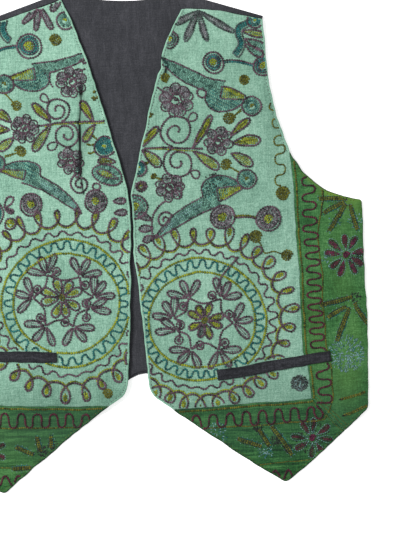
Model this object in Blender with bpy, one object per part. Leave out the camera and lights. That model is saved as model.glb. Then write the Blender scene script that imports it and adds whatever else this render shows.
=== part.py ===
"""An embroidered waistcoat, lying open on its back on a flat surface with its fronts up.

Each front is pieced from a mint field, a green side border and a green hem border, which meet at a
mitre. The dark linen back turns over the shoulders to seams that sit on the front, its lining lies
inside it, and a dark welt covers each pocket mouth.

X runs across the garment, Y towards the neck and Z up from the surface. The origin is the middle of
the underside. Sizes are in millimetres, and TO_METRES turns them into Blender's units.
"""

from math import atan2, cos, exp, hypot, pi, radians, sin

import bmesh
import bpy
from mathutils import Vector
from mathutils.geometry import delaunay_2d_cdt, interpolate_bezier

TO_METRES = 0.001

# Cloth and seams
BACK_CLOTH = 1.0
LINING_CLOTH = 1.0
FRONT_CLOTH = 1.5
WELT_CLOTH = 1.0
SEAM_GAP = 0.3
FOLD_RADIUS = 2.3
WELT_EASE = 0.25

# Heights of the fronts' underside
ON_SIDE_SEAM = BACK_CLOTH + SEAM_GAP
ON_LINING = BACK_CLOTH + LINING_CLOTH + 2 * SEAM_GAP + 0.1
ON_SHOULDER_SEAM = 2 * FOLD_RADIUS - FRONT_CLOTH
SIDE_EASE = 7.0
SHOULDER_EASE = 16.0
HEM_CLEARANCE = 5.0
HEM_EASE = 18.0

# Outline sizes that the pieces share
HALF_WIDTH = 269.5
SIDE_HEM = (266.5, -209.0)
UNDERARM = (HALF_WIDTH, 33.0)
HALF_LENGTH = 292.5

# How finely the outlines and the panels are cut into facets
CURVE_STEPS = 14
CORNER_STEPS = 3
SEAM_STEP = 13.0
PANEL_GRID = 24.0
HEM_STEPS = 12

# How far the points inside a panel keep from its seams and edge, and from the guides of the folds
GRID_CLEARANCE = 7.0
GUIDE_CLEARANCE = 8.0
EASE_EDGE_CLEARANCE = 3.0
EASE_SEAM_CLEARANCE = 3.5
EASE_HEAD = 6.0

# A corner's columns: name, x, y, rounding, and the two handles of the curve to the next corner or
# None where the edge there is straight. The corners run clockwise from the shoulder seam's neck end.
RIGHT_FRONT = (
    ("neck_seam", 69.0, 264.0, 0.0, ((96.0, 266.5), (128.0, 257.5))),
    ("shoulder_tip", 162.5, 249.2, 1.2, ((167.0, 160.0), (170.0, 44.0))),
    ("underarm", UNDERARM[0], UNDERARM[1], 4.0, ((269.0, -20.0), (270.0, -120.0))),
    ("side_hem", SIDE_HEM[0], SIDE_HEM[1], 5.0, ((233.0, -238.5), (198.0, -272.0))),
    ("point", 165.5, -HALF_LENGTH - 1.0, 5.0, ((124.0, -266.5), (82.0, -234.5))),
    ("front_corner", 12.6, -183.0, 9.0, ((8.0, -130.0), (6.0, -75.0))),
    ("closure_foot", 1.0, -16.0, 0.0, None),
    ("closure_head", 0.9, 52.0, 6.0, ((13.5, 108.0), (30.0, 160.0))),
    ("roll_foot", 37.3, 189.3, 1.5, None),
    ("roll_head", 42.3, 197.0, 2.0, ((43.5, 222.0), (56.0, 240.0))),
)
LEFT_FRONT = (
    ("neck_seam", -70.4, 282.3, 0.0, ((-101.0, 273.5), (-132.0, 262.5))),
    ("shoulder_tip", -162.5, 254.4, 1.2, ((-167.0, 164.0), (-170.0, 44.0))),
    ("underarm", -UNDERARM[0], UNDERARM[1], 4.0, ((-269.0, -20.0), (-270.0, -120.0))),
    ("side_hem", -SIDE_HEM[0], SIDE_HEM[1], 5.0, ((-233.0, -238.5), (-198.0, -272.0))),
    ("point", -164.5, -HALF_LENGTH + 0.5, 5.0, ((-126.0, -261.0), (-78.0, -225.0))),
    ("front_corner", -13.6, -179.0, 9.0, ((-10.0, -125.0), (-5.5, -75.0))),
    ("closure_foot", -2.0, -8.0, 0.0, None),
    ("closure_head", -1.9, 54.0, 6.0, ((-28.0, 150.0), (-46.0, 228.0))),
)

# Seams inside a front: the corners of the line between field and side border, from the armhole
# down, the line between field and hem border, from its free end, and the mitre's end at the hem.
RIGHT_SEAMS = {
    "side": ((187.0, 110.0), (190.6, 60.0), (192.8, -140.0), (197.6, -160.0)),
    "corner": (200.0, -197.2),
    "hem": (30.0, -202.3),
    "mitre": (252.0, -249.0),
}
LEFT_SEAMS = {
    "side": ((-187.0, 110.0), (-190.6, 60.0), (-195.0, -140.0)),
    "corner": (-199.0, -187.0),
    "hem": (-24.0, -195.8),
    "mitre": (-252.0, -243.0),
}

# Where the back's cloth folds over at each shoulder: neck end and armhole end of the fold
RIGHT_FOLD = ((63.5, 286.0), (163.8, 252.8))
LEFT_FOLD = ((-65.2, 292.5), (-163.8, 260.6))
BACK_NECK_DIP = 9.0
NECK_HANDLES = (0.28, 0.72)
NECK_STEPS = 9
BACK_EDGE_INSET = 1.5
BACK_SIDE_INSET = 0.45
BACK_HEM_END_INSET = 0.5
BACK_NOTCH = {"x": 8.0, "top": -158.5, "half_width": 52.0, "foot": -190.0}

# The lining stops this far inside the back's edge, and its neck dips less
LINING_INSET = {
    "fold": 5.0,
    "neck": 2.5,
    "tip": 3.0,
    "side": 12.0,
    "hem_end": 9.0,
    "hem": 3.0,
    "armhole": 3.0,
}
LINING_NECK_DIP = 5.0

# A welt's columns: middle x, middle y, length, depth, turn in degrees
WELTS = {
    "right": (158.6, -155.9, 133.5, 12.7, 7.2),
    "left": (-161.8, -131.3, 134.5, 12.5, -3.2),
}

# A fold's columns: middle x, middle y, turn of its ridge in degrees, half length, half width, height
FOLDS = (
    (-56.0, 128.0, 87.0, 52.0, 5.0, 1.8),  # pressed crease in the left front
    (-150.0, 40.0, 75.0, 90.0, 38.0, 1.4),  # slack below the left armhole
    (-95.0, -95.0, 15.0, 60.0, 45.0, 1.0),  # slack above the left pocket
    (60.0, 214.0, 58.0, 34.0, 8.0, 1.7),  # roll behind the right neck edge
    (150.0, 20.0, 100.0, 95.0, 40.0, 1.5),  # slack below the right armhole
    (232.0, -60.0, 88.0, 70.0, 16.0, 1.2),  # pucker down the right side border
    (-232.0, -70.0, 92.0, 70.0, 16.0, 1.1),  # pucker down the left side border
)

# Principled colours as linear RGB, with roughness
MINT = ((0.30, 0.52, 0.41), 0.85)
GREEN = ((0.05, 0.19, 0.055), 0.85)
DARK_LINEN = ((0.055, 0.052, 0.06), 0.9)


def clear_scene():
    """Removes what the startup scene holds."""
    for obj in list(bpy.data.objects):
        bpy.data.objects.remove(obj, do_unlink=True)


def cloth_material(name, look):
    """A matt cloth in one colour."""
    colour, roughness = look
    material = bpy.data.materials.new(name)
    material.use_nodes = True
    shader = material.node_tree.nodes["Principled BSDF"]
    shader.inputs["Base Color"].default_value = (*colour, 1.0)
    shader.inputs["Roughness"].default_value = roughness
    shader.inputs["Metallic"].default_value = 0.0
    return material


def step_between(edge0, edge1, value):
    """0 before edge0 and 1 after edge1, with a smooth rise between."""
    share = max(0.0, min(1.0, (value - edge0) / (edge1 - edge0)))
    return share * share * (3.0 - 2.0 * share)


def edge_points(start, handles, end):
    """The points from start up to, and without, end."""
    if handles is None:
        return [Vector(start)]
    return interpolate_bezier(start, handles[0], handles[1], end, CURVE_STEPS)[:-1]


def traced(corners):
    """A closed outline through a table's corners, with its curves stepped and its corners rounded."""
    knots = [(Vector((x, y)), rounding) for _, x, y, rounding, _ in corners]
    runs = []
    for index, (_, _, _, _, handles) in enumerate(corners):
        end = knots[(index + 1) % len(knots)][0]
        runs.append([Vector(p[:2]) for p in edge_points(knots[index][0], handles, end)])
    outline = []
    for index, (knot, rounding) in enumerate(knots):
        before = runs[index - 1][-1]
        run = runs[index]
        after = run[1] if len(run) > 1 else knots[(index + 1) % len(knots)][0]
        if rounding > 0.0:
            head = knot + (before - knot).normalized() * rounding
            tail = knot + (after - knot).normalized() * rounding
            bend = interpolate_bezier(
                head, head.lerp(knot, 0.6), tail.lerp(knot, 0.6), tail, CORNER_STEPS + 1
            )
            outline += [Vector(p[:2]) for p in bend]
        else:
            outline.append(knot)
        reach = knots[(index + 1) % len(knots)][1]
        last = knots[(index + 1) % len(knots)][0]
        outline += [
            p
            for p in run[1:]
            if (p - knot).length > rounding + 1.0 and (p - last).length > reach + 1.0
        ]
    return outline


def distance_to_line(point, start, end):
    """How far a point is from a straight stretch."""
    along = end - start
    share = max(0.0, min(1.0, (point - start).dot(along) / along.length_squared))
    return (point - start - along * share).length


def line_distance(point, line):
    """How far a point is from an open line."""
    return min(distance_to_line(point, a, b) for a, b in zip(line, line[1:]))


def distance_to_outline(point, outline):
    """How far a point is from a closed outline."""
    return min(
        distance_to_line(point, outline[i - 1], outline[i]) for i in range(len(outline))
    )


def is_inside(point, outline):
    """True where the point lies within a closed outline."""
    inside = False
    for i, b in enumerate(outline):
        a = outline[i - 1]
        if (a.y > point.y) != (b.y > point.y):
            if point.x < (b.x - a.x) * (point.y - a.y) / (b.y - a.y) + a.x:
                inside = not inside
    return inside


def back_hem_height(x):
    """The y of the back's hem: straight from side to side but for an arched notch at the middle."""
    foot, half = BACK_NOTCH["foot"], BACK_NOTCH["half_width"]
    off = abs(x - BACK_NOTCH["x"])
    if off < half:
        return foot + (BACK_NOTCH["top"] - foot) * cos(off / half * pi / 2) ** 1.2
    run = (off - half) / (SIDE_HEM[0] - half)
    return foot + (SIDE_HEM[1] - foot) * min(1.0, run)


def shoulder_seam_distance(point):
    """How far a point is from its front's shoulder seam."""
    corners = RIGHT_FRONT if point.x > 0 else LEFT_FRONT
    start, end = (Vector(corner[1:3]) for corner in corners[:2])
    return distance_to_line(point, start, end)


def underside(x, y):
    """The height of a front's underside: on the lining, with slack folds, eased down to the surface
    past the back's hem, down to the back at the side seam and up to the shoulder seam."""
    lift = 0.0
    for fold_x, fold_y, turn, half_length, half_width, height in FOLDS:
        c, s = cos(radians(turn)), sin(radians(turn))
        along = ((x - fold_x) * c + (y - fold_y) * s) / half_length
        across = ((y - fold_y) * c - (x - fold_x) * s) / half_width
        lift += height * exp(-along * along - across * across)
    resting = ON_LINING + lift
    seam = shoulder_seam_distance(Vector((x, y)))
    resting += (ON_SHOULDER_SEAM - ON_LINING) * (1.0 - step_between(0.0, SHOULDER_EASE, seam))
    side = step_between(0.0, SIDE_EASE, HALF_WIDTH - abs(x))
    over_back = ON_SIDE_SEAM + (resting - ON_SIDE_SEAM) * side
    hem = back_hem_height(x)
    drop = hem - HEM_CLEARANCE
    return over_back * step_between(drop - HEM_EASE, drop, y)


def object_from(mesh_data, name, material):
    """A named object in the scene, made from a bmesh in millimetres."""
    bmesh.ops.scale(mesh_data, vec=Vector((1, 1, 1)) * TO_METRES, verts=mesh_data.verts)
    bmesh.ops.recalc_face_normals(mesh_data, faces=mesh_data.faces)
    mesh = bpy.data.meshes.new(name)
    mesh_data.to_mesh(mesh)
    mesh_data.free()
    mesh.materials.append(material)
    obj = bpy.data.objects.new(name, mesh)
    bpy.context.scene.collection.objects.link(obj)
    return obj


def wall(points, faces, height_at, thickness):
    """A closed cloth wall: a flat triangulation lifted to its height, with its thickness above."""
    cloth = bmesh.new()
    verts = [cloth.verts.new((p.x, p.y, height_at(p))) for p in points]
    for face in faces:
        cloth.faces.new([verts[i] for i in face])
    loose = [v for v in cloth.verts if not v.link_faces]
    bmesh.ops.delete(cloth, geom=loose, context="VERTS")
    grown = bmesh.ops.extrude_face_region(cloth, geom=cloth.faces[:])
    raised = [item for item in grown["geom"] if isinstance(item, bmesh.types.BMVert)]
    bmesh.ops.translate(cloth, vec=(0, 0, thickness), verts=raised)
    return cloth


def triangulated(outline, inner_lines, inner_points):
    """Triangles over an outline, with edges along the inner lines and corners at the inner points."""
    points = list(outline)
    edges = [(i, (i + 1) % len(outline)) for i in range(len(outline))]
    for line in inner_lines:
        first = len(points)
        points += line
        edges += [(first + i, first + i + 1) for i in range(len(line) - 1)]
    points += inner_points
    made, _, faces, _, _, _ = delaunay_2d_cdt(points, edges, [], 1, 1e-4)
    return made, faces


def grid_points(outline, lines, clearance):
    """Staggered points across an outline, clear of its edge and of the lines."""
    xs = [p.x for p in outline]
    ys = [p.y for p in outline]
    points = []
    row = 0
    y = min(ys) + PANEL_GRID / 2
    while y < max(ys):
        x = min(xs) + PANEL_GRID * (0.5 if row % 2 else 1.0)
        while x < max(xs):
            point = Vector((x, y))
            clear = is_inside(point, outline) and distance_to_outline(point, outline) > clearance
            if clear and all(line_distance(point, line) > clearance for line in lines):
                points.append(point)
            x += PANEL_GRID
        y += PANEL_GRID * 0.87
        row += 1
    return points


def side_of(line, point):
    """Positive where the point is on the left of the nearest stretch of a line, else negative."""
    nearest = min(zip(line, line[1:]), key=lambda ab: distance_to_line(point, *ab))
    along, off = nearest[1] - nearest[0], point - nearest[0]
    return along.x * off.y - along.y * off.x


def fold_guides(outline):
    """Points along the ridges and feet of the narrow folds, so that the facets follow them."""
    guides = []
    for fold_x, fold_y, turn, half_length, half_width, _ in FOLDS:
        if half_width > PANEL_GRID / 2:
            continue
        c, s = cos(radians(turn)), sin(radians(turn))
        for along in (-1.2, -0.7, -0.25, 0.25, 0.7, 1.2):
            for across in (-1.6, -0.7, 0.0, 0.7, 1.6):
                a, b = along * half_length, across * half_width
                point = Vector((fold_x + a * c - b * s, fold_y + a * s + b * c))
                if is_inside(point, outline) and distance_to_outline(point, outline) > 2.0:
                    guides.append(point)
    return guides


def ease_points(sign, outline, seams):
    """Points where a front's height starts and stops changing: beside the side seam and just past
    the back's hem."""
    x = sign * (HALF_WIDTH - SIDE_EASE)
    points = stepped([(x, UNDERARM[1] - EASE_HEAD), (x, SIDE_HEM[1])])
    for share in (0.0, 0.5, 1.0):
        for step in range(int(HALF_WIDTH / SEAM_STEP)):
            across = sign * step * SEAM_STEP
            drop = back_hem_height(across) - HEM_CLEARANCE
            points.append(Vector((across, drop - HEM_EASE * share)))
    kept = []
    for point in points:
        edge = distance_to_outline(point, outline)
        clear = is_inside(point, outline) and edge > EASE_EDGE_CLEARANCE
        if clear and all(line_distance(point, line) > EASE_SEAM_CLEARANCE for line in seams):
            kept.append(point)
    return kept


def stepped(corners):
    """A line through its corners, cut into short steps."""
    line = [Vector(corners[0])]
    for corner in corners[1:]:
        start, end = line[-1], Vector(corner)
        steps = max(1, round((end - start).length / SEAM_STEP))
        line += [start.lerp(end, (i + 1) / steps) for i in range(steps)]
    return line


def seam_lines(seams):
    """A front's seams as lines: down the side border, along the hem border and out the mitre."""
    return {
        "side": stepped([*seams["side"], seams["corner"]]),
        "hem": stepped([seams["hem"], seams["corner"]]),
        "mitre": stepped([seams["corner"], seams["mitre"]]),
    }


def piece_of(point, lines, sign):
    """Which piece of a front a point belongs to."""
    if side_of(lines["mitre"], point) * sign > 0 and side_of(lines["side"], point) * sign > 0:
        return "side_border"
    if side_of(lines["hem"], point) * sign > 0:
        return "field"
    return "hem_border"


def opened_seam(point, lines, middle):
    """The point moved half a seam gap towards a piece's middle, if it lies on one of the seams."""
    moved = point.copy()
    for line in lines.values():
        for a, b in zip(line, line[1:]):
            if distance_to_line(point, a, b) < 0.01:
                normal = Vector((a.y - b.y, b.x - a.x)).normalized()
                side = 1.0 if normal.dot(middle - a) > 0 else -1.0
                return moved + normal * side * SEAM_GAP / 2
    return moved


def build_front(side, corners, seams, materials):
    """The three pieces of one front."""
    sign = 1.0 if side == "right" else -1.0
    outline = traced(corners)
    lines = seam_lines(seams)
    seamed = list(lines.values())
    guides = fold_guides(outline) + ease_points(sign, outline, seamed)
    inner = grid_points(outline, seamed, GRID_CLEARANCE)
    inner = [p for p in inner if all((p - g).length > GUIDE_CLEARANCE for g in guides)] + guides
    points, faces = triangulated(outline, seamed, inner)
    pieces = {"field": [], "side_border": [], "hem_border": []}
    for face in faces:
        middle = sum((points[i] for i in face), Vector((0, 0))) / 3
        pieces[piece_of(middle, lines, sign)].append(face)
    for piece, own in pieces.items():
        corners_of = {i for face in own for i in face}
        middle = sum((points[i] for i in corners_of), Vector((0, 0))) / len(corners_of)
        cut = [opened_seam(p, lines, middle) for p in points]
        cloth = wall(cut, own, lambda p: underside(p.x, p.y), FRONT_CLOTH)
        object_from(cloth, f"{side}_{piece}", materials[piece])


def build_welt(side, material):
    """The strip over one pocket mouth, lying on its front."""
    x, y, length, depth, turn = WELTS[side]
    along = Vector((cos(radians(turn)), sin(radians(turn))))
    across = Vector((-along.y, along.x))
    columns = 9
    points, faces = [], []
    for column in range(columns):
        for share in (-0.5, 0.0, 0.5):
            off = along * length * (column / (columns - 1) - 0.5) + across * depth * share
            points.append(Vector((x, y)) + off)
    for column in range(columns - 1):
        for row in range(2):
            a = column * 3 + row
            faces += [(a, a + 3, a + 4), (a, a + 4, a + 1)]
    lift = FRONT_CLOTH + SEAM_GAP + WELT_EASE
    cloth = wall(points, faces, lambda p: underside(p.x, p.y) + lift, WELT_CLOTH)
    object_from(cloth, f"{side}_welt", material)


def fold_frame(fold):
    """A shoulder fold's neck end, its armhole end and the direction in which it rounds over."""
    neck, tip = Vector(fold[0]), Vector(fold[1])
    along = (tip - neck).normalized()
    outward = Vector((-along.y, along.x))
    return neck, tip, outward if outward.y > 0 else -outward


def seam_edge(corners):
    """The points of a front's shoulder seam, from the neck to the armhole."""
    (_, x0, y0, _, handles), (_, x1, y1, _, _) = corners[:2]
    start, end = Vector((x0, y0)), Vector((x1, y1))
    return [Vector(p[:2]) for p in interpolate_bezier(start, *handles, end, CURVE_STEPS)]


def shoulder_sections(fold, corners):
    """For each place along a shoulder, the back's outer surface as it turns over the fold and runs
    down to the shoulder seam: points from the flat of the back to the seam."""
    neck, tip, outward = fold_frame(fold)
    seam = seam_edge(corners)
    sections = []
    for index, seam_point in enumerate(seam):
        top = neck.lerp(tip, index / (len(seam) - 1))
        foot = top - outward * FOLD_RADIUS
        section = []
        for turn in (0, 40, 80, 120, 150, 180):
            out = foot + outward * FOLD_RADIUS * sin(radians(turn))
            height = FOLD_RADIUS * (1 - cos(radians(turn)))
            section.append(Vector((out.x, out.y, height)))
        gapped = seam_point + (foot - seam_point).normalized() * SEAM_GAP
        section.append(Vector((gapped.x, gapped.y, 2 * FOLD_RADIUS)))
        sections.append(section)
    return sections


def armhole_edge(corners, inset):
    """The armhole's points from the shoulder to the underarm, moved in by the inset."""
    (_, x0, y0, _, handles), (_, x1, y1, _, _) = corners[1:3]
    points = interpolate_bezier(
        Vector((x0, y0)), Vector(handles[0]), Vector(handles[1]), Vector((x1, y1)), CURVE_STEPS
    )
    sign = 1.0 if x0 > 0 else -1.0
    shift = Vector((-sign * inset, -inset))
    return [Vector(p[:2]) + shift for p in points]


def hem_points(inset_side, inset_hem):
    """The back's hem from the right side to the left."""
    half = SIDE_HEM[0] - inset_side
    notch = BACK_NOTCH["half_width"]
    middle = BACK_NOTCH["x"]
    xs = [half, half / 2 + middle]
    xs += [middle + notch * (1 - 2 * i / HEM_STEPS) for i in range(HEM_STEPS + 1)]
    xs += [middle - half / 2, -half]
    return [Vector((x, back_hem_height(x) + inset_hem)) for x in xs]


def neck_curve(start, end, dip):
    """The back neck from one shoulder to the other, with its ends left out."""
    low = Vector((0, -dip * 4 / 3))
    handles = [start.lerp(end, share) + low for share in NECK_HANDLES]
    return [Vector(p[:2]) for p in interpolate_bezier(start, *handles, end, NECK_STEPS)][1:-1]


def mirrored_way(points):
    """The same points in the other order."""
    return list(reversed(points))


def build_back(material):
    """The outer back: flat below, turned over each shoulder to the seam on the front."""
    right = shoulder_sections(RIGHT_FOLD, RIGHT_FRONT)
    left = shoulder_sections(LEFT_FOLD, LEFT_FRONT)
    right_feet = [section[0].xy for section in right]
    left_feet = [section[0].xy for section in left]
    side_x = HALF_WIDTH - BACK_SIDE_INSET
    right_arm = armhole_edge(RIGHT_FRONT, BACK_EDGE_INSET)[1:-1]
    left_arm = armhole_edge(LEFT_FRONT, BACK_EDGE_INSET)[1:-1]
    outline = right_feet + right_arm
    outline += [Vector((side_x, UNDERARM[1] - BACK_EDGE_INSET))]
    outline += hem_points(BACK_HEM_END_INSET, 0.0)
    outline += [Vector((-side_x, UNDERARM[1] - BACK_EDGE_INSET))]
    outline += mirrored_way(left_arm) + mirrored_way(left_feet)
    outline += neck_curve(left_feet[0], right_feet[0], BACK_NECK_DIP)
    points, faces = triangulated(outline, [], [])
    cloth = bmesh.new()
    verts = [cloth.verts.new((p.x, p.y, 0.0)) for p in points]
    for face in faces:
        cloth.faces.new([verts[i] for i in reversed(face)])
    for sections, flipped in ((right, False), (left, True)):
        rows = [[cloth.verts.new(p) for p in section] for section in sections]
        for a, b in zip(rows, rows[1:]):
            for i in range(len(a) - 1):
                quad = (a[i], a[i + 1], b[i + 1], b[i])
                cloth.faces.new(mirrored_way(quad) if flipped else quad)
    bmesh.ops.remove_doubles(cloth, verts=cloth.verts, dist=1e-3)
    bmesh.ops.recalc_face_normals(cloth, faces=cloth.faces)
    flat = min(cloth.faces, key=lambda f: f.calc_center_median().y)
    if flat.normal.z > 0:
        bmesh.ops.reverse_faces(cloth, faces=cloth.faces)
    bmesh.ops.scale(cloth, vec=Vector((1, 1, 1)) * TO_METRES, verts=cloth.verts)
    mesh = bpy.data.meshes.new("back")
    cloth.to_mesh(mesh)
    cloth.free()
    mesh.materials.append(material)
    back = bpy.data.objects.new("back", mesh)
    bpy.context.scene.collection.objects.link(back)
    thick = back.modifiers.new("cloth", "SOLIDIFY")
    thick.thickness = BACK_CLOTH * TO_METRES
    thick.offset = -1.0
    thick.use_even_offset = True


def lining_shoulder(fold, corners):
    """The lining's edge below a shoulder fold, from the neck to the armhole."""
    neck, tip, outward = fold_frame(fold)
    drop = outward * (FOLD_RADIUS + LINING_INSET["fold"])
    along = (tip - neck).normalized()
    return [neck - drop + along * LINING_INSET["neck"], tip - drop - along * LINING_INSET["tip"]]


def build_lining(material):
    """The flat inside of the back, short of its folds, side seams and hem."""
    right_top = lining_shoulder(RIGHT_FOLD, RIGHT_FRONT)
    left_top = lining_shoulder(LEFT_FOLD, LEFT_FRONT)
    inset = BACK_EDGE_INSET + LINING_INSET["armhole"]
    right_arm = armhole_edge(RIGHT_FRONT, inset)[2:-2]
    left_arm = armhole_edge(LEFT_FRONT, inset)[2:-2]
    side_x = HALF_WIDTH - LINING_INSET["side"]
    arm_y = UNDERARM[1] - inset
    outline = right_top + right_arm + [Vector((side_x, arm_y))]
    outline += hem_points(LINING_INSET["hem_end"], LINING_INSET["hem"])
    outline += [Vector((-side_x, arm_y))] + mirrored_way(left_arm) + mirrored_way(left_top)
    outline += neck_curve(left_top[0], right_top[0], LINING_NECK_DIP)
    points, faces = triangulated(outline, [], [])
    cloth = wall(points, faces, lambda p: BACK_CLOTH + SEAM_GAP, LINING_CLOTH)
    object_from(cloth, "back_lining", material)


def build_waistcoat():
    """Every piece of the waistcoat."""
    clear_scene()
    mint = cloth_material("mint_field", MINT)
    green = cloth_material("green_border", GREEN)
    linen = cloth_material("dark_linen", DARK_LINEN)
    front_materials = {"field": mint, "side_border": green, "hem_border": green}
    build_back(linen)
    build_lining(linen)
    build_front("right", RIGHT_FRONT, RIGHT_SEAMS, front_materials)
    build_front("left", LEFT_FRONT, LEFT_SEAMS, front_materials)
    build_welt("right", linen)
    build_welt("left", linen)


build_waistcoat()
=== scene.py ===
"""The looks of an embroidered waistcoat that lies on its back: its linen back and lining, the mint and
green cotton of its fronts, its pocket welts, and the chain-stitched birds, flowers and wreaths."""

from math import ceil, pi, radians

import bmesh
import bpy
import numpy as np
from mathutils import Euler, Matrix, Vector, noise
from mathutils.bvhtree import BVHTree
from mathutils.geometry import delaunay_2d_cdt


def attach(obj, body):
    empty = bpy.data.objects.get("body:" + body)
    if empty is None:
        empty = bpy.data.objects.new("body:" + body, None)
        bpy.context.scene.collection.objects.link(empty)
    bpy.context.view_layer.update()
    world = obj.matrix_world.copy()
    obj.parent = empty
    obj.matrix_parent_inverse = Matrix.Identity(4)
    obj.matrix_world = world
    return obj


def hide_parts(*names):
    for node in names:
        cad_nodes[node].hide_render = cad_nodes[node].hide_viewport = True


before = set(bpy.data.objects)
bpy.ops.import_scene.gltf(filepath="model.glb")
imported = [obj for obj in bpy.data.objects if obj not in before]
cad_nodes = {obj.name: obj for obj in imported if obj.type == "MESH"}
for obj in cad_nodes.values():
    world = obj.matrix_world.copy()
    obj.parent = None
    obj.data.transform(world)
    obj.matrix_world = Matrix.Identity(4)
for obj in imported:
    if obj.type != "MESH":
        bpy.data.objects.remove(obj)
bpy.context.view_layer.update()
bpy.ops.object.select_all(action="DESELECT")

MM = 0.001

# ---------------------------------------------------------------------------------------------
# The back: one piece of charcoal linen, flat on the surface it lies on. It turns over at each
# shoulder and comes round to the seam on the front. Its edges are turned in and pressed.


def from_screen(red, green, blue):
    """A colour given as 0 to 255 on a screen, in the light values that shaders use."""
    shares = [channel / 255 for channel in (red, green, blue)]
    light = [s / 12.92 if s <= 0.04045 else ((s + 0.055) / 1.055) ** 2.4 for s in shares]
    return (*light, 1.0)


class Wire:
    """What comes out of a shader node. Sums on it add their own Math nodes."""

    def __init__(self, finish, socket):
        self.finish = finish
        self.socket = socket

    def maths(self, operation, *numbers):
        return self.finish.add("ShaderNodeMath", {"operation": operation}, dict(enumerate(numbers)))

    def __add__(self, other):
        return self.maths("ADD", self, other)

    def __radd__(self, other):
        return self.maths("ADD", other, self)

    def __sub__(self, other):
        return self.maths("SUBTRACT", self, other)

    def __rsub__(self, other):
        return self.maths("SUBTRACT", other, self)

    def __mul__(self, other):
        return self.maths("MULTIPLY", self, other)

    def __rmul__(self, other):
        return self.maths("MULTIPLY", other, self)

    def sine(self):
        return self.maths("SINE", self)


class Finish:
    """One material: a Principled shader and the nodes that feed it."""

    def __init__(self, name, roughness, sheen):
        self.material = bpy.data.materials.new(name)
        self.material.use_nodes = True
        self.tree = self.material.node_tree
        self.shader = self.tree.nodes["Principled BSDF"]
        self.shader.inputs["Roughness"].default_value = roughness
        self.shader.inputs["Specular IOR Level"].default_value = 0.12
        self.shader.inputs["Sheen Weight"].default_value = sheen
        self.shader.inputs["Sheen Roughness"].default_value = 0.5

    def add(self, kind, settings=None, sockets=None, output=0):
        """Adds a node, with its settings made before its sockets are filled or linked."""
        node = self.tree.nodes.new(kind)
        for key, value in (settings or {}).items():
            if key == "stops":
                stops = node.color_ramp.elements
                stops[0].position, stops[1].position = value[0][0], value[-1][0]
                for place, _ in value[1:-1]:
                    stops.new(place)
                for stop, (_, colour) in zip(stops, value):
                    stop.color = colour
            else:
                setattr(node, key, value)
        for key, value in (sockets or {}).items():
            self.feed(node.inputs[key], value)
        return Wire(self, node.outputs[output])

    def feed(self, socket, value):
        """Links a wire to a socket, or sets the socket to a plain value."""
        if isinstance(value, Wire):
            self.tree.links.new(value.socket, socket)
        else:
            socket.default_value = value

    def place(self):
        """Object coordinates."""
        return self.add("ShaderNodeTexCoord", output=3)

    def share_of(self, name):
        """One of the mesh's own attributes."""
        return self.add("ShaderNodeAttribute", {"attribute_name": name}, {}, 2)

    def grain(self, place, scale, detail=2.0, rough=0.5, distortion=0.0):
        """Noise from 0 to 1, with a scale for each axis."""
        spread = self.add("ShaderNodeMapping", {}, {"Vector": place, "Scale": scale})
        amounts = {"Scale": 1.0, "Detail": detail, "Roughness": rough, "Distortion": distortion}
        return self.add("ShaderNodeTexNoise", {}, {"Vector": spread, **amounts})

    def blend(self, share, first, second):
        """A colour between two colours."""
        return self.add("ShaderNodeMix", {"data_type": "RGBA"}, {0: share, 6: first, 7: second}, 2)

    def ramp(self, value, *stops):
        """A colour or a grey read off a ramp."""
        return self.add("ShaderNodeValToRGB", {"stops": stops}, {0: value})

    def emboss(self, *layers):
        """Raises the surface by several layers, each a height and its depth in metres."""
        normal = None
        for height, depth in layers:
            sockets = {"Height": height, "Distance": depth, "Strength": 1.0}
            if normal is not None:
                sockets["Normal"] = normal
            normal = self.add("ShaderNodeBump", {}, sockets)
        self.feed(self.shader.inputs["Normal"], normal)

    def colour(self, value):
        self.feed(self.shader.inputs["Base Color"], value)


def grey(level):
    """An opaque grey for a ramp's stop."""
    return (level, level, level, 1.0)


# Painted shadow: the colour that darkens the valleys of the pressed folds
PAINTED_FOLD_SHADOW = from_screen(18, 24, 22)
FADED_SHADE = from_screen(112, 146, 56)
# The colour of the painted shade that is laid in soft patches over the fronts
PAINTED_SHADE_COLOUR = from_screen(44, 76, 60)
YARN_SPACING = 0.9


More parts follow.
